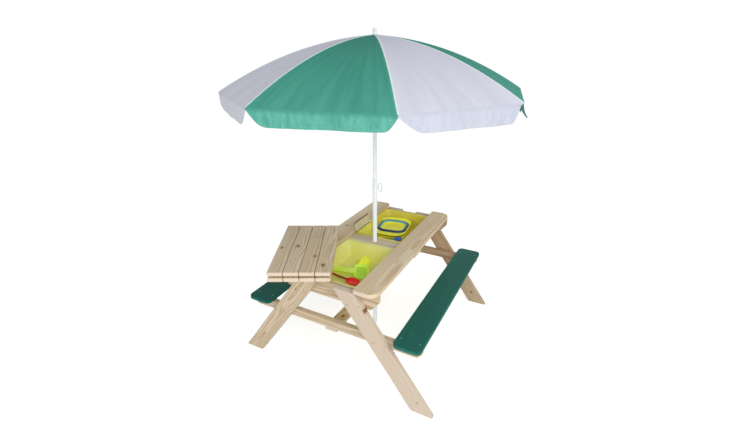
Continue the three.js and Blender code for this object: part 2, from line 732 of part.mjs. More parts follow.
// Panel: a gore of cloth from the crown to the hem, with its hanging valance, about the X axis
function panelGeometry() {
  const columns = 14;
  const slopeRows = 9;
  const valanceRows = 2;
  const rows = slopeRows + valanceRows;
  // Keeps a point the same share across the gore wherever it lies along it
  const place = (x, across, z) => new THREE.Vector3(
    x, (x * Math.tan(halfPanelAngle) - seamGap) * (2 * across - 1), z);
  const shareAcross = (j) => (1 - Math.cos((Math.PI * j) / columns)) / 2;
  const face = [];
  for (let i = 0; i <= rows; i += 1) {
    const along = Math.min(i / slopeRows, 1);
    const hang = Math.max(i - slopeRows, 0) / valanceRows;
    const reach = canopyEye + (ribReach - canopyEye) * along;
    for (let j = 0; j <= columns; j += 1) {
      const across = shareAcross(j);
      const belly = Math.sin(Math.PI * across);
      const drop = hang * (valanceCorner + (valanceDepth - valanceCorner) * valanceShare(across));
      const ripple = valanceRipple * hang * belly * Math.sin(6 * Math.PI * across);
      const sag = panelSag * belly * Math.sin(Math.PI * along);
      face.push(place(reach * Math.cos(halfPanelAngle) + ripple, across, canopyHeight(reach) - sag - drop));
    }
  }
  const at = (i, j) => face[i * (columns + 1) + j];
  const normalAt = (i, j) => {
    const lengthwise = at(Math.min(i + 1, rows), j).clone().sub(at(Math.max(i - 1, 0), j));
    const crosswise = at(i, Math.min(j + 1, columns)).clone().sub(at(i, Math.max(j - 1, 0)));
    const normal = lengthwise.cross(crosswise);
    normal.y = 0;
    return normal.normalize();
  };
  const under = face.map((point, index) => {
    const j = index % (columns + 1);
    const normal = normalAt(Math.floor(index / (columns + 1)), j);
    return place(point.x - clothThickness * normal.x, shareAcross(j), point.z - clothThickness * normal.z);
  });
  const points = [...face, ...under];
  const faces = [];
  const quad = (a, b, c, d) => faces.push(a, b, c, a, c, d);
  const top = (i, j) => i * (columns + 1) + j;
  const low = (i, j) => face.length + top(i, j);
  for (let i = 0; i < rows; i += 1) {
    for (let j = 0; j < columns; j += 1) {
      quad(top(i, j), top(i + 1, j), top(i + 1, j + 1), top(i, j + 1));
      quad(low(i, j), low(i, j + 1), low(i + 1, j + 1), low(i + 1, j));
    }
    quad(top(i, 0), low(i, 0), low(i + 1, 0), top(i + 1, 0));
    quad(top(i, columns), top(i + 1, columns), low(i + 1, columns), low(i, columns));
  }
  for (let j = 0; j < columns; j += 1) {
    quad(top(0, j), top(0, j + 1), low(0, j + 1), low(0, j));
    quad(top(rows, j), low(rows, j), low(rows, j + 1), top(rows, j + 1));
  }
  const geometry = new THREE.BufferGeometry().setFromPoints(points);
  geometry.setIndex(faces);
  return welded(geometry);
}

function addCanopy() {
  const rib = ribGeometry();
  const link = linkGeometry();
  const panel = panelGeometry();
  for (let i = 0; i < panelCount; i += 1) {
    const azimuth = firstRibAzimuth + 2 * halfPanelAngle * i;
    add(`rib_${i + 1}`, rib.clone(), 'ribSteel').rotation.z = azimuth;
    add(`stretcher_arm_${i + 1}`, link.clone(), 'ribSteel').rotation.z = azimuth;
    const finish = i % 2 === 0 ? 'whiteCloth' : 'greenCloth';
    add(`canopy_panel_${i + 1}`, panel.clone(), finish).rotation.z = azimuth + halfPanelAngle;
  }
}

addRails();
addMiddleBoard();
addEndBoards();
addLegs();
addSeatBeams();
addStretcher();
addBenches();
addBins();
addLids();
addPoles();
addCrown();
addRunner();
addFinial();
addCanopy();

export default model;
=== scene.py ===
import json
import math
from math import cos, pi, radians, sin, tan

import bmesh
import bpy
from mathutils import Euler, Matrix, Quaternion, Vector, noise

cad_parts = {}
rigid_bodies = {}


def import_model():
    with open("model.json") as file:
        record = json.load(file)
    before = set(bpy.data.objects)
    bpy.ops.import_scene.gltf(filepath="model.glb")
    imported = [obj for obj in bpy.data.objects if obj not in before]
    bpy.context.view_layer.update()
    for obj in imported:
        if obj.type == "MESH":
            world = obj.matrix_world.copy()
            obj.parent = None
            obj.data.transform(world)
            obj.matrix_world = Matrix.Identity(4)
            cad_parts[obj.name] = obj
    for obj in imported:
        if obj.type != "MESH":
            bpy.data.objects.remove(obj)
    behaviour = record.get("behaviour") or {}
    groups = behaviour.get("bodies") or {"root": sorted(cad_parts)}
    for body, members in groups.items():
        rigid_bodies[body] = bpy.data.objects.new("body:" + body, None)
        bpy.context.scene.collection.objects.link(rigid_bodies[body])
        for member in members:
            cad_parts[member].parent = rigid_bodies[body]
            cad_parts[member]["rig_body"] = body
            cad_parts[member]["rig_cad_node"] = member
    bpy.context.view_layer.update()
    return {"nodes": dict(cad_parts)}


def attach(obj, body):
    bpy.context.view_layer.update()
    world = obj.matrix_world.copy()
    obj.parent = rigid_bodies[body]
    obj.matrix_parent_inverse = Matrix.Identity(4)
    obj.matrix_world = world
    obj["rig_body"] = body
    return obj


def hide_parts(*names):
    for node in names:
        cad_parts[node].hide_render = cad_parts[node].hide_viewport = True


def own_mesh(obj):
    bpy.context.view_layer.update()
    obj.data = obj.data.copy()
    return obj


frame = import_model()
bpy.ops.object.select_all(action="DESELECT")

# Camera
# Stands off the near right corner of the table, just under the height of the parasol's tip,
# and looks down along the table towards its far left corner.
focal_length_in_pixels = 405.7
photograph_width = 750
look_yaw, look_pitch, look_roll = radians(27.42), radians(-23.78), radians(-0.09)
bpy.ops.object.camera_add(location=(-1.568, -0.814, 1.373))
camera = bpy.context.object
camera.name = "camera"
look = Vector((cos(look_pitch) * cos(look_yaw), cos(look_pitch) * sin(look_yaw), sin(look_pitch)))
camera.rotation_mode = "QUATERNION"
camera.rotation_quaternion = look.to_track_quat("-Z", "Y") @ Quaternion((0, 0, 1), look_roll)
camera.data.sensor_fit = "HORIZONTAL"
camera.data.sensor_width = 36
camera.data.lens = focal_length_in_pixels * 36 / photograph_width
camera.data.clip_end = 200
bpy.context.scene.camera = camera
bpy.context.scene.view_settings.view_transform = "Standard"

# Floor and light
# A plain pale floor under an even white sky, with a wide soft lamp to the right of the camera and a low
# one beside it. What the camera and the glossy pieces see of the sky is white; its light is softer.


def add_node(tree, kind, inputs=None, **settings):
    made = tree.nodes.new(kind)
    for name, value in settings.items():
        setattr(made, name, value)
    for name, value in (inputs or {}).items():
        if isinstance(value, bpy.types.NodeSocket):
            tree.links.new(value, made.inputs[name])
        else:
            made.inputs[name].default_value = value
    return made


def tree_of(*values):
    """The node tree that the first socket among the values belongs to."""
    return next(value.id_data for value in values if isinstance(value, bpy.types.NodeSocket))


def worked_out(operation, a, b=0.0, c=0.0):
    return add_node(tree_of(a, b, c), "ShaderNodeMath", {0: a, 1: b, 2: c}, operation=operation).outputs[0]


def times(a, b):
    return worked_out("MULTIPLY", a, b)


def less(a, b):
    return worked_out("SUBTRACT", a, b)


def times_plus(a, b, c):
    return worked_out("MULTIPLY_ADD", a, b, c)


def mixed(share, a, b):
    """A colour between a and b."""
    return add_node(tree_of(share), "ShaderNodeMix", {0: share, 6: a, 7: b}, data_type="RGBA").outputs[2]


def stepped(value, low, high):
    """Nought under low, one over high, and a smooth rise between."""
    return add_node(tree_of(value), "ShaderNodeMapRange", {"Value": value, "From Min": low, "From Max": high},
                    interpolation_type="SMOOTHSTEP").outputs[0]


def fading(value, low, high):
    """One under low, nought over high, and a smooth fall between."""
    return less(1.0, stepped(value, low, high))


def colour(red, green, blue):
    """A colour as a paint chart writes it, 0 to 255, as the renderer wants it."""
    channels = [c / 255 for c in (red, green, blue)]
    return (*[c / 12.92 if c <= 0.04045 else ((c + 0.055) / 1.055) ** 2.4 for c in channels], 1.0)


def new_material(name, **constants):
    """A material with one Principled shader; names of constants are its sockets, with _ for spaces."""
    made = bpy.data.materials.new(name)
    made.use_nodes = True
    shader = made.node_tree.nodes["Principled BSDF"]
    for socket, value in constants.items():
        shader.inputs[socket.replace("_", " ")].default_value = value
    return made, made.node_tree, shader


def new_group(name, takes, gives):
    """A shader node group and what it is given. Takes and gives hold each socket's name and kind."""
    group = bpy.data.node_groups.new(name, "ShaderNodeTree")
    for way, sockets in (("INPUT", takes), ("OUTPUT", gives)):
        for socket, kind in sockets.items():
            group.interface.new_socket(socket, in_out=way, socket_type=f"NodeSocket{kind}")
    return group, add_node(group, "NodeGroupInput").outputs


def noise_at(where, scale, detail=2.0, take="Fac", **more):
    """Cloudy noise; a scale of three numbers stretches it along the axes."""
    tree = tree_of(where)
    if isinstance(scale, tuple):
        where = add_node(tree, "ShaderNodeVectorMath", {0: where, 1: scale}, operation="MULTIPLY").outputs[0]
        scale = 1.0
    return add_node(tree, "ShaderNodeTexNoise", {
        "Vector": where, "Scale": scale, "Detail": detail, **more}).outputs[take]


def own_place(tree):
    """Where a point lies in the piece, which stays as it is wherever the piece moves."""
    return add_node(tree, "ShaderNodeTexCoord").outputs["Object"]


def split(vector):
    """The three numbers of a vector, by the names of their axes."""
    return add_node(tree_of(vector), "ShaderNodeSeparateXYZ", {"Vector": vector}).outputs


def use_group(group, **sockets):
    """What a shader node group gives back; names of sockets have _ for spaces."""
    taken = {name.replace("_", " "): value for name, value in sockets.items()}
    return add_node(tree_of(*taken.values()), "ShaderNodeGroup", taken, node_tree=group).outputs


def dress(shader, tint, roughness=None, relief=None, strength=0.5, depth=0.0003):
    """Gives a shader its colour and, where they change over the surface, its roughness and its bumps."""
    tree = shader.id_data
    tree.links.new(tint, shader.inputs["Base Color"])
    if roughness:
        tree.links.new(roughness, shader.inputs["Roughness"])
    if relief:
        bump = add_node(tree, "ShaderNodeBump", {"Height": relief, "Strength": strength, "Distance": depth})
        tree.links.new(bump.outputs[0], shader.inputs["Normal"])


world = bpy.data.worlds.new("sky")
bpy.context.scene.world = world
world.use_nodes = True
sky_tree = world.node_tree
sky_light = 0.52
rays = add_node(sky_tree, "ShaderNodeLightPath").outputs
seen_ray = worked_out("MAXIMUM", rays["Is Camera Ray"],
                      worked_out("MAXIMUM", rays["Is Glossy Ray"], rays["Is Transmission Ray"]))
sky_strength = add_node(sky_tree, "ShaderNodeMapRange",
                        {"Value": seen_ray, "To Min": sky_light, "To Max": 1.0}).outputs[0]
sky = sky_tree.nodes["Background"]
sky.inputs["Color"].default_value = (1, 1, 1, 1)
sky_tree.links.new(sky_strength, sky.inputs["Strength"])

aim_height = 0.7


def hang_lamp(name, azimuth, elevation, distance, width, level):
    """A round soft lamp aimed at the table. Its level is what it adds to a white face turned to it."""
    across, up = distance * cos(radians(elevation)), distance * sin(radians(elevation))
    bpy.ops.object.light_add(type="AREA", location=(
        across * cos(radians(azimuth)), across * sin(radians(azimuth)), aim_height + up))
    lamp = bpy.context.object
    lamp.name = name
    lamp.data.shape = "DISK"
    lamp.data.size = width
    lamp.data.energy = level * (pi * distance) ** 2
    lamp.rotation_euler = (Vector((0, 0, aim_height)) - lamp.location).to_track_quat("-Z", "Y").to_euler()


hang_lamp("main_lamp", -118, 30, 4.2, 2.6, 0.34)
hang_lamp("low_lamp", -165, 12, 4.2, 2.2, 0.27)

bpy.ops.mesh.primitive_plane_add(size=60)
floor = bpy.context.object
floor.name = "studio_floor"
floor_paint, tree, shader = new_material("studio_floor", Roughness=0.9, Specular_IOR_Level=0.0,
                                         Emission_Color=(1, 1, 1, 1))
dust = noise_at(own_place(tree), 1.5)
dress(shader, mixed(dust, (0.90, 0.90, 0.90, 1), (0.92, 0.92, 0.92, 1)))
# Only the camera sees this glow, which takes the lit floor up to the white of the sky
floor_glow = 0.54
camera_ray = add_node(tree, "ShaderNodeLightPath").outputs["Is Camera Ray"]
tree.links.new(times(camera_ray, floor_glow), shader.inputs["Emission Strength"])
floor.data.materials.append(floor_paint)

# Rails
# The two long boards of the table's top, sawn from knotty pine, planed, with a big round on each
# outer corner and every arris eased by sanding. They are screwed down on the boards that cross them.


def choose(piece):
    bpy.ops.object.select_all(action="DESELECT")
    piece.select_set(True)
    bpy.context.view_layer.objects.active = piece


def start_piece(adder, name, stretch=(1, 1, 1), **how):
    """Makes one of the plain shapes, with its place, turn and size settled in its mesh."""
    bpy.ops.object.select_all(action="DESELECT")
    adder(**how)
    piece = bpy.context.object
    piece.name = piece.data.name = name
    piece.scale = stretch
    bpy.ops.object.transform_apply(location=True, rotation=True, scale=True)
    return piece


def add_block(name, size, middle=(0, 0, 0)):
    """A block of that size round that middle, ready to be cut."""
    return start_piece(bpy.ops.mesh.primitive_cube_add, name, size, size=1, location=middle)


def open_mesh(piece):
    """Starts work on a piece's mesh, with all of it selected."""
    choose(piece)
    bpy.ops.object.mode_set(mode="EDIT")
    bpy.ops.mesh.select_all(action="SELECT")


def close_mesh():
    bpy.ops.object.mode_set(mode="OBJECT")


def select_edges(test):
    """In edit mode: the edges whose two ends pass the test."""
    bpy.ops.mesh.select_mode(type="EDGE")
    bpy.ops.mesh.select_all(action="DESELECT")
    mesh = bmesh.from_edit_mesh(bpy.context.object.data)
    for edge in mesh.edges:
        if test(edge.verts[0].co, edge.verts[1].co):
            edge.select_set(True)
    bmesh.update_edit_mesh(bpy.context.object.data)


def select_faces(test):
    """In edit mode: the faces whose middle and normal pass the test."""
    bpy.ops.mesh.select_mode(type="FACE")
    bpy.ops.mesh.select_all(action="DESELECT")
    mesh = bmesh.from_edit_mesh(bpy.context.object.data)
    for face in mesh.faces:
        if test(face.calc_center_median(), face.normal):
            face.select_set(True)
    bmesh.update_edit_mesh(bpy.context.object.data)


def round_corners(piece, radius, segments, test=lambda x, y: True):
    """Rounds the upright corners of a board whose place passes the test."""
    open_mesh(piece)
    select_edges(lambda a, b: abs(a.x - b.x) < 1e-6 and abs(a.y - b.y) < 1e-6 and test(a.x, a.y))
    bpy.ops.mesh.bevel(offset=radius, segments=segments, affect="EDGES", clamp_overlap=False)
    close_mesh()


def apply_modifier(piece, kind, **settings):
    choose(piece)
    modifier = piece.modifiers.new(kind.lower(), kind)
    for setting, value in settings.items():
        setattr(modifier, setting, value)
    bpy.ops.object.modifier_apply(modifier=modifier.name)


def ease_edges(piece, width, segments=3, angle=28):
    """Sands every sharp arris round."""
    choose(piece)
    bpy.ops.object.shade_smooth_by_angle(angle=radians(angle))
    apply_modifier(piece, "BEVEL", width=width, segments=segments, limit_method="ANGLE",
                   angle_limit=radians(angle), harden_normals=True)


def saw_off(piece, point, outwards):
    """Cuts off what lies outwards of a plane and closes the cut."""
    open_mesh(piece)
    bpy.ops.mesh.bisect(plane_co=point, plane_no=outwards, use_fill=True, clear_outer=True)
    close_mesh()


def cut_with(piece, cutter, way="DIFFERENCE"):
    """Takes the cutter's shape out of the piece, or keeps only what lies in it, and drops the cutter."""
    apply_modifier(piece, "BOOLEAN", operation=way, object=cutter, solver="EXACT")
    bpy.data.objects.remove(cutter)


def set_down(piece, turn=(0, 0, 0), spot=(0, 0, 0)):
    """Turns the piece, moves it to its place and settles that into its mesh."""
    choose(piece)
    piece.rotation_euler = turn
    piece.location = spot
    bpy.ops.object.transform_apply(location=True, rotation=True, scale=True)


def belongs(piece, body, slot, *nodes):
    """Says which body carries the piece and which solids it stands for, which it hides; the slot is not used.
    """
    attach(piece, body)
    if nodes:
        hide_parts(*nodes)
    return piece


# Growth rings of the trunk that a board was sawn from: X runs along the grain
rings_group, given = new_group("pine growth rings", {"Vector": "Vector", "Trunk": "Float"},
                               {"Rings": "Float", "Fibres": "Float", "Streaks": "Float", "Tone": "Float"})
tree = rings_group
trunk_shift = add_node(tree, "ShaderNodeCombineXYZ", {
    "X": given["Trunk"], "Y": times(given["Trunk"], 1.7), "Z": times(given["Trunk"], 0.6)}).outputs[0]
wander_at = add_node(tree, "ShaderNodeVectorMath", {0: given["Vector"], 1: (2.2, 14, 14), 2: trunk_shift},
                     operation="MULTIPLY_ADD").outputs[0]
wander = add_node(tree, "ShaderNodeSeparateColor", {"Color": noise_at(wander_at, 1.0, take="Color")})
parts = split(given["Vector"])
pith_side = times(worked_out("SINE", times(given["Trunk"], 12.9)), 0.035)
pith_depth = times_plus(worked_out("SINE", times(given["Trunk"], 7.7)), 0.02, -0.045)
from_pith = []
for axis, pith, noise_channel, strength in (("Y", pith_side, 0, 0.030), ("Z", pith_depth, 1, 0.034)):
    off = times_plus(less(wander.outputs[noise_channel], 0.5), strength, less(parts[axis], pith))
    from_pith.append(times(off, off))
radius = worked_out("SQRT", worked_out("ADD", *from_pith))
ring_width = 0.0052
ring_phase = worked_out("FRACT", worked_out("DIVIDE", radius, ring_width))
late_wood = times(stepped(ring_phase, 0.25, 0.86), fading(ring_phase, 0.93, 1.0))
add_node(tree, "NodeGroupOutput", {
    "Rings": late_wood, "Fibres": stepped(noise_at(wander_at, (3.0, 45, 45), Roughness=0.6), 0.3, 0.7),
    "Streaks": stepped(noise_at(wander_at, (0.9, 9.0, 9.0), Roughness=0.7), 0.52, 0.72),
    "Tone": stepped(noise_at(wander_at, (0.8, 1.6, 1.6), 1.0), 0.3, 0.7)})

# A knot: the stump of a branch, round which the grain bends. Knots are chained, and hand on their masks
knot_group, given = new_group("pine knot", {
    "Vector": "Vector", "Heart": "Float", "Halo": "Float", "Middle X": "Float", "Middle Y": "Float",
    "Radius": "Float"}, {"Vector": "Vector", "Heart": "Float", "Halo": "Float"})
tree = knot_group
parts = split(given["Vector"])
along_knot = worked_out("DIVIDE", less(parts["X"], given["Middle X"]), times(given["Radius"], 1.35))
off_knot = less(parts["Y"], given["Middle Y"])
across_knot = worked_out("DIVIDE", off_knot, given["Radius"])
distance = worked_out("SQRT", times_plus(along_knot, along_knot, times(across_knot, across_knot)))
distance = times_plus(less(noise_at(given["Vector"], 260.0), 0.5), 0.5, distance)
bend = worked_out("EXPONENT", times(times(distance, distance), -0.16))
bent_y = times_plus(times(off_knot, bend), -0.72, parts["Y"])
bent = add_node(tree, "ShaderNodeCombineXYZ", {"X": parts["X"], "Y": bent_y, "Z": parts["Z"]})
add_node(tree, "NodeGroupOutput", {
    "Vector": bent.outputs[0], "Heart": worked_out("MAXIMUM", fading(distance, 0.65, 1.1), given["Heart"]),
    "Halo": worked_out("MAXIMUM", fading(distance, 0.8, 2.6), given["Halo"])})

# The planed face: early and late wood, heartwood browning that on some boards is painted shade, sawn ends
# painted paler partly as painted light, and knots over one another
planed_group, given = new_group("planed pine", {
    "Vector": "Vector", "Trunk": "Float", "Early": "Color", "Warm": "Color", "Late": "Color",
    "Heartwood": "Float", "Sawn End": "Float", "Knot Heart": "Float", "Knot Halo": "Float"},
    {"Color": "Color", "Roughness": "Float", "Relief": "Float"})
tree = planed_group
grain = use_group(rings_group, Vector=given["Vector"], Trunk=given["Trunk"])
surface = mixed(grain["Tone"], given["Early"], given["Warm"])
for share, strength, over in (
        (grain["Rings"], 0.78, given["Late"]), (grain["Streaks"], 0.42, given["Late"]),
        (grain["Fibres"], 0.2, colour(200, 172, 130)), (given["Heartwood"], 1.0, colour(160, 108, 62)),
        (given["Sawn End"], 0.65, colour(232, 214, 197)), (given["Knot Halo"], 0.45, colour(188, 140, 92)),
        (given["Knot Heart"], 0.85, colour(112, 66, 38))):
    surface = mixed(times(share, strength), surface, over)
add_node(tree, "NodeGroupOutput", {
    "Color": surface, "Roughness": times_plus(grain["Rings"], 0.12, 0.55),
    "Relief": times(worked_out("ADD", grain["Rings"], grain["Fibres"]), 0.5)})


def pine(name, turn, spot, knots, trunk, shade, warmth, heartwood):
    """Planed pine for one board, whose own X runs along its grain. Knots are (along, across, radius);
    heartwood is the way it changes in, and how much of its brown shows at either side; on some boards the brown
    is heartwood, on others painted shade."""
    made, tree, shader = new_material(name)
    sides = add_node(tree, "ShaderNodeTexCoord").outputs
    at = add_node(tree, "ShaderNodeMapping", {"Vector": sides["Object"], "Location": spot, "Rotation": turn},
                  vector_type="TEXTURE").outputs[0]
    way, *shares = heartwood
    reach = 0.3 if way == "X" else 0.04
    run = add_node(tree, "ShaderNodeMapRange", {"Value": split(at)[way], "From Min": -reach, "From Max": reach,
                                                "To Min": shares[0], "To Max": shares[1]}).outputs[0]
    knot = {"Heart": 0.0, "Halo": 0.0}
    for along, across, radius in knots:
        knot = use_group(knot_group, Vector=at, Heart=knot["Heart"], Halo=knot["Halo"], Middle_X=along,
                         Middle_Y=across, Radius=radius)
        at = knot["Vector"]
    greyed = (226, 211, 193)
    tones = {}
    # A darker board is a browner one
    for tone, plain, power in (("Early", (236, 219, 190), 1.0), ("Warm", (222, 201, 166), 1.3),
                               ("Late", (188, 156, 113), 1.9)):
        tones[tone] = colour(*[min(255, (grey + (full - grey) * warmth) * shade ** power)
                               for grey, full in zip(greyed, plain)])
    # The sawn ends are painted paler, partly as their own tone and partly as painted light on the end faces
    grain_way = tuple(Euler(turn).to_matrix() @ Vector((1, 0, 0)))
    end_grain = add_node(tree, "ShaderNodeVectorMath", {0: sides["Normal"], 1: grain_way},
                         operation="DOT_PRODUCT").outputs["Value"]
    face = use_group(planed_group, Vector=at, Trunk=trunk, **tones, Heartwood=run,
                     Sawn_End=stepped(worked_out("ABSOLUTE", end_grain), 0.6, 0.9),
                     Knot_Heart=knot["Heart"], Knot_Halo=knot["Halo"])
    dress(shader, face["Color"], face["Roughness"], face["Relief"])
    return made


def pine_board(piece, turn, spot, knots=(), trunk=0.0, shade=1.0, warmth=1.0, heartwood=("X", 0.0, 0.0),
               arris=0.0025, body="table"):
    """Eases the arrises of a cut board, puts it in its place and gives it its own wood. It is named after
    the solid that it stands for."""
    ease_edges(piece, arris)
    set_down(piece, turn, spot)
    piece.data.materials.append(pine(piece.name, turn, spot, knots, trunk, shade, warmth, heartwood))
    belongs(piece, body, "pine", piece.name.rpartition("_")[0])


rail_length, rail_width, rail_thickness = 0.890, 0.100, 0.018
table_height, rail_middle = 0.502, 0.182
outer_round, inner_round = 0.042, 0.006
# The right rail browns towards its far end: painted shade from the canopy. The left rail browns towards its
# inner edge.
for side, rail, knots, trunk, shade, heartwood in (
        (-1, "right", (), 1.3, 1.06, ("X", 0.0, 0.17)),
        (1, "left", ((-0.06, -0.012, 0.005),), 5.9, 1.125, ("Y", 0.0, 0.42))):
    piece = add_block(f"rail_{rail}_board", (rail_length, rail_width, rail_thickness))
    round_corners(piece, outer_round, 10, lambda x, y: y < 0)
    round_corners(piece, inner_round, 3, lambda x, y: y > 0)
    pine_board(piece, (0, 0, 0 if side < 0 else pi), (0, side * rail_middle, table_height - rail_thickness / 2),
               knots, trunk, shade, 0.8, heartwood)

# Middle board
# Crosses under the rails between the two bins. It is bored for the pole, and its long edges are
# rebated on top so that the bins' flanges lie in flush.
under_rails = 0.4837
middle_width, middle_length, middle_thickness = 0.086, 0.452, 0.018
flange_rebate, rebate_depth = 0.012, 0.0033
opening_half_width = 0.132
pole_bore, bore_depth = 0.011, 0.05
cutter_height = 0.02


def add_drill(radius, depth, middle, axis_turn=(0, 0, 0), sides=40):
    """A round cutter of that radius and depth, standing up unless it is turned."""
    return start_piece(bpy.ops.mesh.primitive_cylinder_add, "drill", radius=radius, depth=depth, vertices=sides,
                       location=middle, rotation=axis_turn)


piece = add_block("middle_board_plank", (middle_length, middle_width, middle_thickness))
for side in (-1, 1):
    cut_with(piece, add_block("rebate_cutter", (2 * opening_half_width, 2 * flange_rebate, cutter_height), (
        0, side * middle_width / 2, middle_thickness / 2 - rebate_depth + cutter_height / 2)))
cut_with(piece, add_drill(pole_bore, bore_depth, (0, 0, 0)))
pine_board(piece, (0, 0, pi / 2), (0, 0, under_rails - middle_thickness / 2), (), 3.1, 0.985, 0.7, arris=0.0016)

# End boards
# Stand on edge across each end of the table, behind the legs, with their lower corners sawn off
# and a rebate along the inner upper edge for the bin's flange.
end_length, end_height, end_thickness = 0.464, 0.072, 0.018
end_middle_x = 0.4077
end_rebate = 0.0055
corner_run, corner_rise = 0.034, 0.041


def on_edge(side):
    """The turn that stands a board on edge across the table: its own X goes across, its own Y goes up
    and its own Z points outwards."""
    return tuple(Matrix(((0, 0, side), (side, 0, 0), (0, 1, 0))).to_euler())


# The far end board is darker than the near one, partly its own tone and partly painted shade.
for side, end, knots, trunk, shade in ((1, "far", ((0.09, 0.01, 0.005),), 8.2, 0.84),
                                       (-1, "near", ((-0.196, 0.010, 0.004),), 2.4, 0.93)):
    piece = add_block(f"end_board_{end}_plank", (end_length, end_height, end_thickness))
    for hand in (-1, 1):
        outwards = Vector((hand * corner_rise, -corner_run, 0)).normalized()
        saw_off(piece, (hand * end_length / 2, -end_height / 2 + corner_rise, 0), outwards)
    cut_with(piece, add_block("rebate_cutter", (2 * opening_half_width, cutter_height, 2 * end_rebate), (
        0, end_height / 2 - rebate_depth + cutter_height / 2, -end_thickness / 2)))
    pine_board(piece, on_edge(side), (side * end_middle_x, 0, under_rails - end_height / 2), knots, trunk,
               shade, arris=0.0016)

# Legs
# Four slanted boards outside the end boards, crossing them like an open A, cut level at the floor and
# under the lids. Two screws hold each to the end board and two to the seat beam.
leg_width, leg_thickness = 0.075, 0.024
leg_uncut_length = 0.80
leg_face_x = 0.441
leg_foot_y, leg_top_y = 0.391, 0.038
leg_slant = math.atan((leg_foot_y - leg_top_y) / under_rails)


def saw_level(piece, turn, spot, height, upwards):
    """Cuts a board that is still on the bench where it will meet a level plane once it is in place."""
    to_board = Euler(turn).to_matrix().transposed()
    saw_off(piece, to_board @ (Vector((0, 0, height)) - Vector(spot)),
            to_board @ Vector((0, 0, 1 if upwards else -1)))


# The far legs are darker and browner than the near ones, partly their own tone and partly painted shade; the
# last number is the brown at each leg's top, which on the far right leg is painted shade.
for end, hand, place_name, knots, trunk, shade, warmth, brown in (
        (-1, -1, "near_right", ((-0.2695, -0.0171, 0.0028), (0.160, -0.0385, 0.0065)), 0.4, 0.985, 0.1, 0.12),
        (-1, 1, "near_left", ((0.185, 0.012, 0.003),), 4.4, 0.965, 0.75, 0.0),
        (1, -1, "far_right", ((-0.255, 0.008, 0.006), (0.02, 0.025, 0.004)), 6.7, 0.90, 0.95, 0.5),
        (1, 1, "far_left", ((-0.08, 0.015, 0.0055),), 9.1, 0.88, 1.0, 0.0)):
    along = Vector((0, -hand * sin(leg_slant), cos(leg_slant)))
    outwards = Vector((end, 0, 0))
    turn = tuple(Matrix((along, outwards.cross(along), outwards)).transposed().to_euler())
    spot = (end * (leg_face_x - leg_thickness / 2),
            hand * ((leg_foot_y + leg_top_y) / 2 + leg_width / 2 * cos(leg_slant)),
            under_rails / 2 + leg_width / 2 * sin(leg_slant))
    piece = add_block(f"leg_{place_name}_board", (leg_uncut_length, leg_width, leg_thickness))
    saw_level(piece, turn, spot, 0, False)
    saw_level(piece, turn, spot, under_rails, True)
    pine_board(piece, turn, spot, knots, trunk, shade, warmth, ("X", 0.0, brown))

# Seat beams
# On edge inside the legs at seat height, with their lower ends sawn off at a slant so that they
# don't catch a leg. They carry both benches.
beam_height, beam_thickness, beam_length = 0.040, 0.024, 0.832
beam_middle_x, beam_middle_z = 0.4047, 0.2747
beam_cut = 0.020
# The far beam is darker and browns towards its right end, partly its own tone and partly painted shade.
for side, end, knots, trunk, shade, warmth, brown in (
        (1, "far", (), 2.9, 0.85, 1.0, 0.35), (-1, "near", ((-0.30, -0.005, 0.003),), 7.3, 0.965, 0.6, 0.0)):
    piece = add_block(f"seat_beam_{end}_board", (beam_length, beam_height, beam_thickness))
    for hand in (-1, 1):
        saw_off(piece, (hand * beam_length / 2, -beam_height / 2 + beam_cut, 0),
                Vector((hand, -1, 0)).normalized())
    pine_board(piece, on_edge(side), (side * beam_middle_x, 0, beam_middle_z), knots, trunk, shade, warmth,
               ("X", brown, 0.0))

# Stretcher
# Lies flat under the two seat beams from end to end and keeps them apart. The foot of the pole
# passes through its middle.
stretcher_length, stretcher_width, stretcher_thickness = 0.824, 0.056, 0.018
stretcher_middle_z = 0.2454
piece = add_block("stretcher_board", (stretcher_length, stretcher_width, stretcher_thickness))
cut_with(piece, add_drill(pole_bore, bore_depth, (0, 0, 0)))
pine_board(piece, (0, 0, 0), (0, 0, stretcher_middle_z),
           ((-0.3195, -0.0048, 0.0075), (0.2, 0.014, 0.005)), 4.9, 0.97)

# Benches
# Two planed boards with round corners, painted a deep green in two satin coats that let a trace of
# the grain through, and screwed down on the seat beams. Along the arrises the paint is paler, partly as wear
# and partly as a painted highlight.
bench_length, bench_width, bench_thickness = 0.900, 0.118, 0.015
bench_middle_y, bench_middle_z, bench_corner = 0.361, 0.3025, 0.024
wear_and_highlight_reach = 0.004  # how far in from its arrises a bench's pale band of wear and painted highlight reaches

paint_group, given = new_group("brushed paint on pine", {
    "Vector": "Vector", "Trunk": "Float", "Coat": "Color", "Coat On Rings": "Color", "Worn Coat": "Color"},
    {"Color": "Color", "Roughness": "Float", "Relief": "Float"})
tree = paint_group
grain = use_group(rings_group, Vector=given["Vector"], Trunk=given["Trunk"])
coat = mixed(times(grain["Tone"], 0.12), given["Coat"], given["Worn Coat"])
coat = mixed(times(grain["Rings"], 0.25), coat, given["Coat On Rings"])
parts = split(given["Vector"])
from_edges = [less(half_size, worked_out("ABSOLUTE", parts[axis]))
              for axis, half_size in (("X", bench_length / 2), ("Y", bench_width / 2))]
# The pale band along the arrises is wear together with a painted highlight; noise makes its width uneven
edge_unevenness = noise_at(given["Vector"], 42.0, 3.0)
shifted = times_plus(less(edge_unevenness, 0.5), wear_and_highlight_reach * 1.6, worked_out("MINIMUM", *from_edges))
wear_and_highlight = fading(shifted, 0.0, wear_and_highlight_reach)
coat = mixed(times(wear_and_highlight, 0.4), coat, given["Worn Coat"])
orange_peel = noise_at(given["Vector"], 520.0)
add_node(tree, "NodeGroupOutput", {
    "Color": coat, "Roughness": times_plus(orange_peel, 0.16, 0.5),
    "Relief": times_plus(grain["Rings"], 0.6, times(orange_peel, 0.4))})
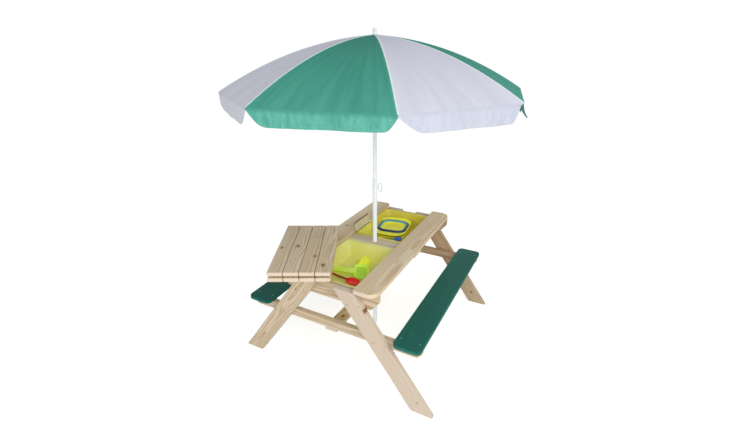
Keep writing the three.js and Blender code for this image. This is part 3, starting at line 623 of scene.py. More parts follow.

# The left bench's paint is written darker and less red: painted shade, for it stands in the shade of the lids
for side, hand, shade in ((-1, "right", 1.0), (1, "left", 0.84)):
    piece = add_block(f"bench_{hand}_board", (bench_length, bench_width, bench_thickness))
    round_corners(piece, bench_corner, 8)
    ease_edges(piece, 0.0025, 4)
    spot = (0, side * bench_middle_y, bench_middle_z)
    set_down(piece, (0, 0, 0), spot)
    paint, tree, shader = new_material(f"bench_{hand}_paint", Specular_IOR_Level=0.15)
    at = add_node(tree, "ShaderNodeMapping", {"Vector": own_place(tree), "Location": spot},
                  vector_type="TEXTURE").outputs[0]
    coats = {coat: colour(red * shade - 110 * (1 - shade), green * shade, blue * shade)
             for coat, (red, green, blue) in (
                 ("Coat", (34, 101, 90)), ("Coat On Rings", (26, 84, 75)), ("Worn Coat", (62, 140, 122)))}
    face = use_group(paint_group, Vector=at, Trunk=2.0 + side, **coats)
    dress(shader, face["Color"], face["Roughness"], face["Relief"])
    piece.data.materials.append(paint)
    belongs(piece, "table", "bench_paint", f"bench_{hand}")

# Screws
# Zinc-plated wood screws with a cross in the head, driven in flush: four in each leg, and four in each
# bench, which its last coat of paint went over.
zinc, tree, shader = new_material("screw_zinc", Metallic=1.0, Roughness=0.38)
spangle = noise_at(own_place(tree), 900.0)
dress(shader, mixed(spangle, colour(150, 152, 154), colour(196, 198, 200)))
head_radius, head_height, head_sunk = 0.0036, 0.0010, 0.0004
cross_length, cross_width, cross_depth = 0.0042, 0.0009, 0.0005
screw_model = add_drill(head_radius, head_height, (0, 0, 0), sides=20)
screw_model.name = "screw_head"
for quarter in (0, pi / 2):
    slot_cutter = add_block("slot_cutter", (cross_length, cross_width, 2 * cross_depth), (
        0, 0, head_height / 2))
    set_down(slot_cutter, (0, 0, quarter))
    cut_with(screw_model, slot_cutter)
ease_edges(screw_model, 0.00018, 1, 50)
screw_model.data.materials.append(zinc)


def join_to(piece, *others):
    bpy.ops.object.select_all(action="DESELECT")
    for other in (piece, *others):
        other.select_set(True)
    bpy.context.view_layer.objects.active = piece
    bpy.ops.object.join()


def drive_screws(name, places, body="table", slot="pole_paint"):
    """Copies of the screw's head, as one piece: each place is where the head sits and which way it faces."""
    heads = []
    for spot, facing in places:
        head = screw_model.copy()
        head.data = screw_model.data.copy()
        bpy.context.scene.collection.objects.link(head)
        turn = Vector(facing).to_track_quat("Z", "Y").to_matrix().to_4x4()
        # No two crosses stand alike
        twist = Matrix.Rotation(37.0 * spot[1] + 11.0 * spot[0] + 5.0 * spot[2], 4, "Z")
        head.data.transform(Matrix.Translation(spot) @ turn @ twist)
        heads.append(head)
    join_to(*heads)
    heads[0].name = heads[0].data.name = name
    return belongs(heads[0], body, slot)


screw_stands = head_height / 2 - head_sunk
seat_height, bench_screw_x = 0.310, 0.398
leg_screws = ((0.1037, 0.4222), (0.1587, 0.4324), (0.2182, 0.2786), (0.2689, 0.2804))
for end, end_name in ((-1, "near"), (1, "far")):
    for hand, hand_name in ((-1, "right"), (1, "left")):
        drive_screws(f"leg_{end_name}_{hand_name}_screws", [
            ((end * (leg_face_x + screw_stands), hand * y, z), (end, 0, 0)) for y, z in leg_screws])
coated, tree, shader = new_material("screw_under_paint", Roughness=0.5, Specular_IOR_Level=0.2)
cover = noise_at(own_place(tree), 700.0)
dress(shader, mixed(cover, colour(78, 138, 124), colour(112, 170, 156)))
for hand, hand_name in ((-1, "right"), (1, "left")):
    heads = drive_screws(f"bench_{hand_name}_screws", [
        ((end * bench_screw_x, hand * y, seat_height + screw_stands), (0, 0, 1))
        for end in (-1, 1) for y in (0.3204, 0.4007)], slot="bench_paint")
    heads.data.materials[0] = coated

# Sand bins
# Two moulded tubs that hang by their flange between the middle board and an end board: a tapered box
# with rounded corners and floor, drawn in one skin two and a half millimetres thick.
bin_top, bin_floor = under_rails, 0.3982
mouth_x, mouth_half_width = (0.0485, 0.3932), 0.125
flange_x, flange_half_width = (0.0313, 0.4039), 0.1317
bin_taper, bin_corner, floor_rounding = 0.0087, 0.0235, 0.0095
flange_corner, lip_rounding, bin_wall = 0.008, 0.0022, 0.0025
hair, slack = 1e-5, 1e-4  # how near to a height, and to the mouth's outline, counts as on it

skin_group, given = new_group("moulded skin", {
    "Vector": "Vector", "Deep": "Color", "Pale": "Color", "Gloss Left": "Float"},
    {"Color": "Color", "Roughness": "Float", "Relief": "Float"})
tree = skin_group
flow = noise_at(given["Vector"], 9.0, 3.0, Distortion=1.2)
scuffs = noise_at(given["Vector"], 60.0, 4.0, Roughness=0.75)
add_node(tree, "NodeGroupOutput", {
    "Color": mixed(stepped(flow, 0.3, 0.7), given["Deep"], given["Pale"]),
    "Roughness": times_plus(stepped(scuffs, 0.45, 0.7), 0.14, given["Gloss Left"]),
    "Relief": noise_at(given["Vector"], 700.0, 1.0)})


def moulded_plastic(name, deep, pale, roughness=0.38, **more):
    """Glossy moulded plastic: a faint flow of pigment, a fine orange peel and a few scuffs."""
    made, tree, shader = new_material(name, **more)
    face = use_group(skin_group, Vector=own_place(tree), Deep=colour(*deep), Pale=colour(*pale),
                     Gloss_Left=roughness)
    dress(shader, face["Color"], face["Roughness"], face["Relief"], 0.35, 0.0002)
    return made


def on_mouth(point):
    return (abs(point.y) < mouth_half_width + slack and mouth_x[0] - slack < point.x < mouth_x[1] + slack
            and point.z > bin_top - hair)


for side, end, deep, pale in ((1, "far", (231, 212, 72), (237, 220, 90)),
                              (-1, "near", (236, 233, 135), (242, 240, 155))):
    middle = Vector(((mouth_x[0] + mouth_x[1]) / 2, 0, (bin_top + bin_floor) / 2))
    size = Vector((mouth_x[1] - mouth_x[0], 2 * mouth_half_width, bin_top - bin_floor))
    piece = add_block(f"sand_bin_{end}_tub", size, middle)
    open_mesh(piece)
    select_faces(lambda middle, normal: normal.z < -0.9)
    bpy.ops.transform.resize(value=(1 - 2 * bin_taper / size.x, 1 - 2 * bin_taper / size.y, 1),
                             center_override=(middle.x, 0, bin_floor))
    select_edges(lambda a, b: abs(a.z - b.z) > 0.05)
    bpy.ops.mesh.bevel(offset=bin_corner, segments=8, affect="EDGES", clamp_overlap=False)
    select_edges(lambda a, b: max(a.z, b.z) < bin_floor + hair)
    bpy.ops.mesh.bevel(offset=floor_rounding, segments=5, affect="EDGES", clamp_overlap=False)
    select_faces(lambda middle, normal: normal.z > 0.9)
    bpy.ops.mesh.delete(type="ONLY_FACE")
    bpy.ops.mesh.select_all(action="SELECT")
    bpy.ops.mesh.flip_normals()
    close_mesh()
    # The flange starts as the outline round the open mouth, and the two are bridged
    flange = start_piece(bpy.ops.mesh.primitive_plane_add, "flange",
                         (flange_x[1] - flange_x[0], 2 * flange_half_width, 1), size=1,
                         location=((flange_x[0] + flange_x[1]) / 2, 0, bin_top))
    open_mesh(flange)
    bpy.ops.mesh.bevel(offset=flange_corner, segments=8, affect="VERTICES")
    bpy.ops.mesh.select_all(action="SELECT")
    bpy.ops.mesh.delete(type="ONLY_FACE")
    close_mesh()
    join_to(piece, flange)
    open_mesh(piece)
    select_edges(lambda a, b: min(a.z, b.z) > bin_top - hair)
    bpy.ops.mesh.bridge_edge_loops()
    select_faces(lambda middle, normal: middle.z > bin_top - hair and normal.z < 0)
    bpy.ops.mesh.flip_normals()
    select_edges(lambda a, b: on_mouth(a) and on_mouth(b))
    bpy.ops.mesh.bevel(offset=lip_rounding, segments=3, affect="EDGES", clamp_overlap=True)
    close_mesh()
    apply_modifier(piece, "SOLIDIFY", thickness=bin_wall, offset=-1)
    bpy.ops.object.shade_smooth_by_angle(angle=radians(40))
    set_down(piece, (0, 0, 0 if side > 0 else pi))
    # Light comes through the thin wall
    piece.data.materials.append(moulded_plastic(
        f"{end}_bin_plastic", deep, pale, Subsurface_Weight=0.4, Subsurface_Radius=(1.0, 1.0, 0.5),
        Subsurface_Scale=0.01))
    belongs(piece, f"{end}_bin", "bin_plastic", f"sand_bin_{end}")

# Lids
# Two lids of four planks each, held by two cross battens under them. Both lie turned on the left
# rail, the lower one face down, so that all four battens share the gap between the planks.
plank_length, plank_width, plank_thickness, plank_pitch = 0.446, 0.061, 0.0175, 0.063
batten_length, batten_width, batten_thickness = 0.240, 0.030, 0.008
batten_insets, batten_middle_z = (0.070, 0.110), 0.5241
batten_screw_sunk, zigzag = 0.00045, 0.008
stack_middle, lid_turn = Vector((-0.295, 0.186, 0)), radians(27.6)
plank_knots = {
    ("upper", 1): ((0.012, -0.0116, 0.0066),), ("upper", 2): ((-0.002, -0.0069, 0.0082),),
    ("upper", 3): ((0.089, 0.017, 0.0060), (-0.092, 0.007, 0.003)), ("upper", 4): ((0.1645, -0.0036, 0.0082),),
    ("lower", 2): ((0.1, 0.01, 0.005),), ("lower", 4): ((-0.12, -0.008, 0.005),)}


def on_stack(turn, along, across, height):
    """Where a place along and across a lid comes to lie, at that height, with the lid turned so."""
    return tuple(stack_middle + Euler(turn).to_matrix() @ Vector((along, across, 0)) + Vector((0, 0, height)))


for lid, planks_middle_z, turned, facing, first_trunk in (
        ("lower", 0.51105, 0, 1, 5.2), ("upper", 0.53715, pi, -1, 0.7)):
    turn, body = (0, 0, lid_turn + turned), f"{lid}_lid"
    for number in range(1, 5):
        piece = add_block(f"lid_{lid}_plank_{number}_board", (plank_length, plank_width, plank_thickness))
        pine_board(piece, turn, on_stack(turn, 0, (number - 2.5) * plank_pitch, planks_middle_z),
                   plank_knots.get((lid, number), ()), number * 1.9 + first_trunk, 0.985 + 0.008 * number,
                   0.8, arris=0.0032, body=body)
    for number, along in ((1, batten_insets[0] - plank_length / 2), (2, plank_length / 2 - batten_insets[1])):
        piece = add_block(f"lid_{lid}_batten_{number}_board", (batten_length, batten_width, batten_thickness))
        pine_board(piece, (0, 0, turn[2] + pi / 2), on_stack(turn, along, 0, batten_middle_z), (),
                   number * 3.3, 0.8, arris=0.0010, body=body)
        drive_screws(f"lid_{lid}_batten_{number}_screws", [
            (on_stack(turn, along, (k - 1.5) * plank_pitch + zigzag * (-1) ** k,
                      batten_middle_z + facing * (batten_thickness / 2 - batten_screw_sunk)), (0, 0, facing))
            for k in range(4)], body, "pine")
bpy.data.objects.remove(screw_model)

# Pole
# Two steel tubes coated in white powder. The upper one slides in the lower one, which carries a
# boss with a thread for the thumb screw that holds it.
lower_radius, lower_wall, lower_top = 0.0105, 0.0015, 0.795
upper_radius, upper_wall, upper_bottom, upper_top = 0.0087, 0.0012, 0.630, 1.3847
screw_height, screw_azimuth = 0.760, radians(-79.2)
boss_radius, boss_stands, boss_sunk = 0.0055, 0.0035, 0.0003

# Powder coat: very fine orange peel, a little greyer where hands have been, and a faint bluish glow that is
# painted light
pole_coat, tree, shader = new_material("pole_powder_coat", Coat_Weight=0.15, Coat_Roughness=0.2,
                                       Emission_Color=colour(170, 205, 255), Emission_Strength=0.07)
hands = noise_at(own_place(tree), 14.0, 3.0)
clean = colour(248, 253, 255)
handled = (*[channel * 0.93 for channel in clean[:3]], 1.0)
dress(shader, mixed(stepped(hands, 0.35, 0.75), clean, handled), times_plus(hands, 0.15, 0.34),
      noise_at(own_place(tree), 900.0, 1.0), 0.3, 0.0001)


def face_outwards():
    """In edit mode: turns every face of a closed piece outwards."""
    bpy.ops.mesh.select_all(action="SELECT")
    bpy.ops.mesh.normals_make_consistent(inside=False)


def add_tube(name, radius, wall, bottom, top):
    """A tube: a rod whose two end faces are inset and joined through its middle."""
    tube = add_drill(radius, top - bottom, (0, 0, (top + bottom) / 2), sides=48)
    tube.name = tube.data.name = name
    open_mesh(tube)
    select_faces(lambda middle, normal: abs(normal.z) > 0.9)
    bpy.ops.mesh.inset(thickness=wall, use_individual=True)
    bpy.ops.mesh.bridge_edge_loops()
    face_outwards()
    close_mesh()
    return tube


lower_tube = add_tube("lower_pole_tube", lower_radius, lower_wall, 0.0, lower_top)
ease_edges(lower_tube, 0.0004, 2, 40)
boss = add_drill(boss_radius, boss_stands + boss_sunk,
                 (lower_radius + (boss_stands - boss_sunk) / 2, 0, screw_height), (0, pi / 2, 0), sides=6)
ease_edges(boss, 0.0005, 2, 30)
join_to(lower_tube, boss)
set_down(lower_tube, (0, 0, screw_azimuth))
lower_tube.data.materials.append(pole_coat)
belongs(lower_tube, "pole_foot", "pole_paint", "lower_pole")
upper_tube = add_tube("upper_pole_tube", upper_radius, upper_wall, upper_bottom, upper_top)
ease_edges(upper_tube, 0.0003, 2, 40)
upper_tube.data.materials.append(pole_coat)
belongs(upper_tube, "pole_head", "pole_paint", "upper_pole")

# Thumb screw
# A short threaded steel shank that presses on the inner tube, with a long loop for finger and thumb
# moulded round its end.
play = 0.0003
loop_radius, loop_bar_radius, loop_stretch = 0.0088, 0.0022, 0.0100
shank_radius, shank_length = 0.0025, 0.0076
loop_middle = lower_radius + boss_stands + play + loop_radius + loop_bar_radius
loop = start_piece(bpy.ops.mesh.primitive_torus_add, "thumb_screw_loop", major_radius=loop_radius,
                   minor_radius=loop_bar_radius, major_segments=48, minor_segments=14,
                   location=(loop_middle, 0, screw_height), rotation=(pi / 2, 0, 0))
open_mesh(loop)
for half in (-1, 1):
    select_faces(lambda middle, normal: (middle.z - screw_height) * half > 0)
    bpy.ops.transform.translate(value=(0, 0, half * loop_stretch))
close_mesh()
shank = add_drill(shank_radius, shank_length, (upper_radius + play + shank_length / 2, 0, screw_height),
                  (0, pi / 2, 0), sides=20)
ease_edges(shank, 0.0002, 1, 40)
join_to(loop, shank)
bpy.ops.object.shade_smooth_by_angle(angle=radians(40))
set_down(loop, (0, 0, screw_azimuth))
white_plastic = moulded_plastic("white_plastic", (226, 228, 232), (236, 237, 240), 0.42)
loop.data.materials.append(white_plastic)
belongs(loop, "clamp", "white_plastic", "thumb_screw")

# Crown, runner, ribs and stretcher arms
# The parasol's frame. Moulded crown and runner with a slot and a pin for each rib and arm; the ribs
# and arms are pressed from steel strip and plated. Each keeps its solid's form, with edges broken.
plated, tree, shader = new_material("rib_plating", Metallic=0.85)
drawn = noise_at(own_place(tree), 90.0, 4.0)
dress(shader, mixed(drawn, colour(176, 178, 182), colour(214, 216, 220)),
      times_plus(drawn, 0.2, 0.28))


def finished_solid(node, name, body, slot, material, edge):
    """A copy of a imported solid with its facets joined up, its edges broken and its own finish."""
    piece = frame["nodes"][node].copy()
    piece.data = frame["nodes"][node].data.copy()
    piece.name = piece.data.name = name
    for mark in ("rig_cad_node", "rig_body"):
        if mark in piece:
            del piece[mark]
    piece.parent = None
    bpy.context.scene.collection.objects.link(piece)
    piece.hide_render = piece.hide_viewport = False
    open_mesh(piece)
    bpy.ops.mesh.remove_doubles(threshold=0.00001)
    bpy.ops.mesh.dissolve_limited(angle_limit=radians(1))
    close_mesh()
    ease_edges(piece, edge, 2, 35)
    piece.data.materials.clear()
    piece.data.materials.append(material)
    belongs(piece, body, slot, node)


finished_solid("crown", "crown_moulding", "pole_head", "white_plastic", white_plastic, 0.0004)
finished_solid("runner", "runner_moulding", "runner", "white_plastic", white_plastic, 0.0004)
for k in range(1, 9):
    for strip in (f"rib_{k}", f"stretcher_arm_{k}"):
        finished_solid(strip, f"{strip}_strip", strip, "rib_steel", plated, 0.0003)

# Finial
# The white plastic knob that clamps the cloth on the crown: a ball and a flange, turned in one with the
# short stem that goes into the pole's top.
apex_height, finial_height = 1.397, 0.026
knob = 0.0085
knob_middle = apex_height + finial_height - knob


def turned_piece(name, profile):
    """Turns a piece from (radius, height) pairs, drawn up from a disc; a last radius of nought closes it."""
    radius, height = profile[0]
    piece = start_piece(bpy.ops.mesh.primitive_circle_add, name, radius=radius, vertices=40, fill_type="NGON",
                        location=(0, 0, height))
    open_mesh(piece)
    for next_radius, next_height in profile[1:]:
        bpy.ops.mesh.extrude_region_move(TRANSFORM_OT_translate={"value": (0, 0, next_height - height)})
        if next_radius == 0:
            bpy.ops.mesh.merge(type="CENTER")
            break
        share = next_radius / radius
        bpy.ops.transform.resize(value=(share, share, 1), center_override=(0, 0, next_height))
        radius, height = next_radius, next_height
    face_outwards()
    close_mesh()
    bpy.ops.object.shade_smooth_by_angle(angle=radians(40))
    return piece


stem_and_flange = [(radius, apex_height + above) for radius, above in (
    (0.0027, -0.011), (0.0027, 0), (0.0106, 0), (0.011, 0.0006), (0.011, 0.0026), (0.0104, 0.0033),
    (0.0080, 0.0052), (0.0073, 0.0068))]
ball = [(knob * cos(radians(a)), knob_middle + knob * sin(radians(a))) for a in range(-32, 90, 10)]
finial = turned_piece("finial_knob", [*stem_and_flange, *ball, (0, apex_height + finial_height)])
finial.data.materials.append(white_plastic)
belongs(finial, "pole_head", "white_plastic", "finial")

# Canopy
# Eight gores of polyester cloth, green and white by turns, sewn to each other along the ribs with the
# seam bound in pale tape. The cloth is one sheet from the crown to the rib tips; here it is cut along
# the middle of each gore, so that every wing of it goes with the rib it is sewn to.
rib_reach, shoulder_slope, rib_bow = 0.632, 0.059, 0.043
canopy_eye, panel_sag = 0.008, 0.005
half_gore = pi / 8
first_rib_azimuth = radians(-146.7)
gore_cloth = ("white", "green") * 4
binding_width = 0.0030
seam_stands, cloth_thickness = 0.0007, 0.0009
wing_rows, wing_columns = 44, 15


def canopy_height(reach):
    return apex_height - shoulder_slope * reach - 4 * rib_bow * (reach / rib_reach) ** 2


def ways(azimuth):
    """The way out from the pole at an azimuth, and the way across it."""
    return Vector((cos(azimuth), sin(azimuth), 0)), Vector((-sin(azimuth), cos(azimuth), 0))


def crease(gore, reach, across):
    """Soft creases where the cloth pulls from the crown to the hem, and puckers beside each rib tip."""
    out = reach / rib_reach
    lift = 0.0
    for number in range(5):
        where = 0.14 + 0.18 * number + 0.07 * sin(3.1 * gore + 2.3 * number)
        wide = 0.022 + 0.010 * sin(1.7 * gore + number)
        high = 0.0011 * (0.55 + 0.45 * sin(5.3 * gore + 4.1 * number))
        lift += high * math.exp(-((across - where - 0.03 * out) / wide) ** 2) * out * (1.25 - out)
    for corner in (across, 1 - across):
        lift += 0.0012 * math.exp(-((corner - 0.10) / 0.045) ** 2) * max(out - 0.72, 0) / 0.28
    return lift


def gore_point(gore, reach, across):
    """A point of gore 0 to 7, across from 0 on its first rib to 1 on its second."""
    x = reach * cos(half_gore)
    y = x * tan(half_gore) * (2 * across - 1)
    along = max(reach - canopy_eye, 0) / (rib_reach - canopy_eye)
    sag = panel_sag * sin(pi * across) * sin(pi * along)
    z = canopy_height(reach) - sag + crease(gore, reach, across) * sin(pi * across)
    azimuth = first_rib_azimuth + half_gore * (2 * gore + 1)
    return Vector((x * cos(azimuth) - y * sin(azimuth), x * sin(azimuth) + y * cos(azimuth), z))


# Woven polyester, sewn: the weave follows the cut, in metres; soft creases follow the gore, with their shade
# painted in; lockstitch runs in short dashes at a set distance from the edge that the stitching's map counts
# from
cloth_group, given = new_group("sewn woven cloth", {
    "Cut": "Vector", "Gore": "Vector", "Stitching": "Vector", "Deep": "Color", "Pale": "Color",
    "Thread": "Color", "Dense": "Color", "Dense From": "Float", "Dense To": "Float", "Dense Share": "Float"},
    {"Color": "Color", "Relief": "Float"})
tree = cloth_group
thread_pitch, stitch_pitch, row_from_edge = 0.0009, 0.0036, 0.0075
parts = split(given["Cut"])
warp, weft = [worked_out("SINE", times(parts[way], 2 * pi / thread_pitch))
              for way in ("X", "Y")]
weave = times_plus(times(warp, weft), 0.5, 0.5)
slubs = noise_at(given["Cut"], (900.0, 40.0, 1.0))
creases_and_their_shade = noise_at(given["Gore"], (9.0, 2.4, 1.0), 5.0, Roughness=0.6, Distortion=0.5)
# Painted shade: the shaded tone lies fully at the start of the cut and fades out between the two places given
shaded_left = add_node(tree, "ShaderNodeMapRange", {
    "Value": parts["Y"], "From Min": given["Dense From"], "From Max": given["Dense To"],
    "To Min": given["Dense Share"], "To Max": 0.0}).outputs[0]
row = split(given["Stitching"])
off_row = worked_out("ABSOLUTE", less(row["Y"], row_from_edge))
on_row = fading(off_row, 0.0003, 0.0007)
stitch_phase = worked_out("FRACT", worked_out("DIVIDE", row["X"], stitch_pitch))
stitches = times(on_row, stepped(stitch_phase, 0.18, 0.3))
# The creases' shade is painted: the cloth's darker and paler tones follow the crease noise
surface = mixed(stepped(creases_and_their_shade, 0.28, 0.72), given["Deep"], given["Pale"])
for share, strength, over in ((shaded_left, 1.0, "Dense"), (weave, 0.07, "Pale"), (slubs, 0.06, "Deep"),
                              (stitches, 0.6, "Thread")):
    surface = mixed(times(share, strength), surface, given[over])
add_node(tree, "NodeGroupOutput", {
    "Color": surface, "Relief": times_plus(on_row, -0.25, times_plus(weave, 0.12, creases_and_their_shade))})


def cloth(name, deep, pale, thread, dense, dense_from, dense_to, dense_share):
    """Polyester in two tones. Down the cut, a darker tone of painted shade fades out between the two places
    given.
    """
    made, tree, shader = new_material(name, Roughness=0.85, Specular_IOR_Level=0.15)
    maps = {socket: add_node(tree, "ShaderNodeUVMap", uv_map=map_name).outputs[0]
            for socket, map_name in (("Cut", "cut"), ("Gore", "gore"), ("Stitching", "stitch"))}
    face = use_group(cloth_group, **maps, Deep=colour(*deep), Pale=colour(*pale), Thread=colour(*thread),
                     Dense=colour(*dense), Dense_From=dense_from, Dense_To=dense_to, Dense_Share=dense_share)
    dress(shader, face["Color"], None, face["Relief"], 0.6, 0.0012)
    return made


# Each cloth's shaded tone is painted shade: the gores darken towards the crown, the borders just under the hem
# and the tie strap at its top
canopy_cloth = {
    "green": cloth("green_canopy_cloth", (66, 150, 133), (84, 167, 149), (130, 196, 180), (42, 122, 107),
                   0.10, 0.63, 0.85),
    "white": cloth("white_canopy_cloth", (207, 209, 223), (217, 219, 232), (236, 237, 243), (200, 201, 216),
                   0.10, 0.63, 0.8)}
binding_cloth = cloth("seam_binding_cloth", (214, 236, 234), (226, 242, 241), (200, 210, 212),
                      (226, 242, 241), 0.0, 0.1, 0.0)


def cloth_grid(name, rows, lanes, thickness):
    """A sheet from rows of places: each is a point, then where it lies on the cut, along the stitching
    and on the gore. Lanes gives the number of the cloth between each two columns."""
    columns = len(rows[0])
    mesh = bpy.data.meshes.new(name)
    faces = [(i * columns + j, (i + 1) * columns + j, (i + 1) * columns + j + 1, i * columns + j + 1)
             for i in range(len(rows) - 1) for j in range(columns - 1)]
    places = [place for row in rows for place in row]
    mesh.from_pydata([place[0] for place in places], [], faces)
    for number, map_name in enumerate(("cut", "stitch", "gore"), 1):
        layer = mesh.uv_layers.new(name=map_name)
        for loop in mesh.loops:
            layer.data[loop.index].uv = places[loop.vertex_index][number]
    for face in mesh.polygons:
        face.material_index = lanes[face.index % (columns - 1)]
        face.use_smooth = True
    sheet = bpy.data.objects.new(name, mesh)
    bpy.context.scene.collection.objects.link(sheet)
    apply_modifier(sheet, "SOLIDIFY", thickness=thickness, offset=-1)
    bpy.ops.object.shade_smooth_by_angle(angle=radians(40))
    return sheet


def wing_place(gore, side, reach, off):
    """The place on a wing that lies off its rib by that distance, on the side that gore is on."""
    across = off / (2 * reach * sin(half_gore))
    across = across if side > 0 else 1 - across
    return gore_point(gore, reach, across), (side * off, reach), (reach, off), (1.7 * gore + across, reach)


wings = []
for rib in range(8):
    left_gore, right_gore = rib, (rib - 1) % 8
    rows = []
    for i in range(wing_rows + 1):
        reach = canopy_eye + (rib_reach - canopy_eye) * i / wing_rows
        half_width = reach * sin(half_gore)
        bound = min(binding_width, 0.35 * half_width)
        run = [bound + (half_width - bound) * j / wing_columns for j in range(wing_columns + 1)]
        seam = (gore_point(right_gore, reach, 1) + Vector((0, 0, seam_stands)), (0.0, reach), (reach, 0.0),
                (1.7 * right_gore + 1, reach))
        rows.append([*[wing_place(right_gore, -1, reach, off) for off in reversed(run)], seam,
                     *[wing_place(left_gore, 1, reach, off) for off in run]])
    wing = cloth_grid(f"canopy_wing_{rib + 1}", rows, [0] * wing_columns + [2, 2] + [1] * wing_columns,
                      cloth_thickness)
    for wing_cloth in (canopy_cloth[gore_cloth[right_gore]], canopy_cloth[gore_cloth[left_gore]],
                       binding_cloth):
        wing.data.materials.append(wing_cloth)
    belongs(wing, f"rib_{rib + 1}", f"{gore_cloth[left_gore]}_cloth", f"canopy_panel_{rib + 1}")
    wings.append(wing)

# Valance
# The border that hangs from the hem of each gore: cut off in a curve at both ends, hemmed, and
# slightly rippled where the stitching has drawn it in.
plain_cut = (0, 0.16, 0.006, 0.060)
# At each end of a gore's border: where along the hem its cut corner starts and ends, the cloth's depth
# at the seam, and its full depth beyond the corner
corner_cuts = {0: ((0, 0.21, 0.006, 0.060), (0.022, 0.088, 0.006, 0.067)),
               1: ((0.06, 0.42, 0.002, 0.060), plain_cut),
               6: ((0, 0.20, 0.048, 0.063), (0, 0.26, 0.006, 0.072)),
               7: ((0, 0.14, 0.006, 0.060), (0, 0.09, 0.010, 0.052))}
# The borders take their own tones of the gores' cloth: the green paler, as painted light on the upright border,
# and the white a little greyer, as painted shade; under the hem each is darkened by painted shade. The left
# border's white is lit through from behind
valance_cloth = {tone: cloth(f"{tone}_valance_cloth", *colours, 0.003, 0.016, 0.8) for tone, *colours in (
    ("green", (82, 160, 144), (104, 186, 168), (140, 205, 190), (66, 146, 128)),
    ("white", (192, 197, 211), (203, 207, 220), (226, 229, 236), (190, 194, 208)),
    ("lit_white", (213, 216, 226), (222, 225, 234), (234, 236, 240), (205, 208, 220)))}
lit_gore = 6
valance_rows, valance_columns = 12, 72
hem_width = 2 * rib_reach * sin(half_gore)
for gore in range(8):
    out, along_hem = ways(first_rib_azimuth + half_gore * (2 * gore + 1))
    cuts = corner_cuts.get(gore, (plain_cut, plain_cut))
    rows = []
    for i in range(valance_rows + 1):
        hang = i / valance_rows
        row = []
        for j in range(valance_columns + 1):
            across = (1 - cos(pi * j / valance_columns)) / 2
            full = cuts[0][3] + (cuts[1][3] - cuts[0][3]) * across
            drop = full
            for from_seam, (start, end, at_seam, _) in ((across, cuts[0]), (1 - across, cuts[1])):
                if from_seam < end:
                    drop = at_seam + (full - at_seam) * sin(max(from_seam - start, 0) / (end - start) * pi / 2)
            near_corner = math.exp(-((min(across, 1 - across) - 0.12) / 0.09) ** 2)
            wave = sum(high * noise.noise(Vector(where)) for high, *where in (
                (0.006, across * 7.5, gore * 3.7, hang * 0.5),
                (0.0022, across * 22.0, gore * 5.1 + 9.0, hang * 0.8),
                (0.0045 * near_corner, across * 34.0 + hang * 5.0, gore * 2.3, hang * 1.6)))
            ripple = (wave + 0.0016 * sin(6 * pi * across)) * hang ** 0.7 * sin(pi * across) ** 0.5
            ripple *= 0.4 if gore == lit_gore else 1
            place = gore_point(gore, rib_reach, across)
            row.append((place + out * (ripple - 0.0008 * hang) - Vector((0, 0, drop * hang)),
                        (across * hem_width, hang * drop), (across * hem_width, drop * (1 - hang)),
                        (1.7 * gore + 3 * across, hang * 0.4 + 5)))
        rows.append(row)
    border = cloth_grid(f"valance_{gore + 1}", rows, [0] * valance_columns, cloth_thickness)
    border.data.materials.append(valance_cloth["lit_white" if gore == lit_gore else gore_cloth[gore]])
    belongs(border, f"canopy_panel_{gore + 1}", f"{gore_cloth[gore]}_cloth")
    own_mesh(border)
for rib, wing in enumerate(wings):
    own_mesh(wing)

# Tie strap
# A short green tape sewn to the hem at one rib's tip, which is wound round the folded cloth and ties
# it. With the parasol open it hangs down with a half turn.
strap_length, strap_width, strap_thickness = 0.050, 0.010, 0.0006
strap_rib, strap_rows, strap_lanes = 1, 24, 6
strap_out, strap_across = ways(first_rib_azimuth + 2 * half_gore * strap_rib)
strap_top = (gore_point(strap_rib, rib_reach, 0) - strap_out * 0.005 - strap_across * 0.004
             - Vector((0, 0, 0.003)))
rows = []
for i in range(strap_rows + 1):
    hang = i / strap_rows
    turned = pi / 2 * (1 - hang * hang * (3 - 2 * hang))
    middle = (strap_top - Vector((0, 0, strap_length * 0.9 * hang))
              + (strap_out + strap_across) * 0.017 * hang ** 2)
    width_way = strap_across * cos(turned) + strap_out * sin(turned)
    rows.append([(middle + width_way * strap_width * (j / strap_lanes - 0.5),
                  *[(strap_width * j / strap_lanes, strap_length * hang)] * 3) for j in range(strap_lanes + 1)])
strap = cloth_grid("tie_strap", rows, [0] * strap_lanes, strap_thickness)
# Its cloth is darkened at the top by painted shade
strap.data.materials.append(cloth("tie_strap_tape", (64, 112, 104), (76, 124, 115), (90, 150, 135),
                                  (44, 104, 92), 0.0, 0.02, 0.3))
belongs(strap, "rib_2", "green_cloth")

# Toys in the bins
# Thin moulded sand toys that came with the table and lie in the bins: a folding bucket, a small scoop
# and a sand comb in the far one; a spade, a strainer and a shell mould in the near one. The brightest
# of them glow faintly: painted light that lifts them in the shade of the bins.
toy_plastic = {}
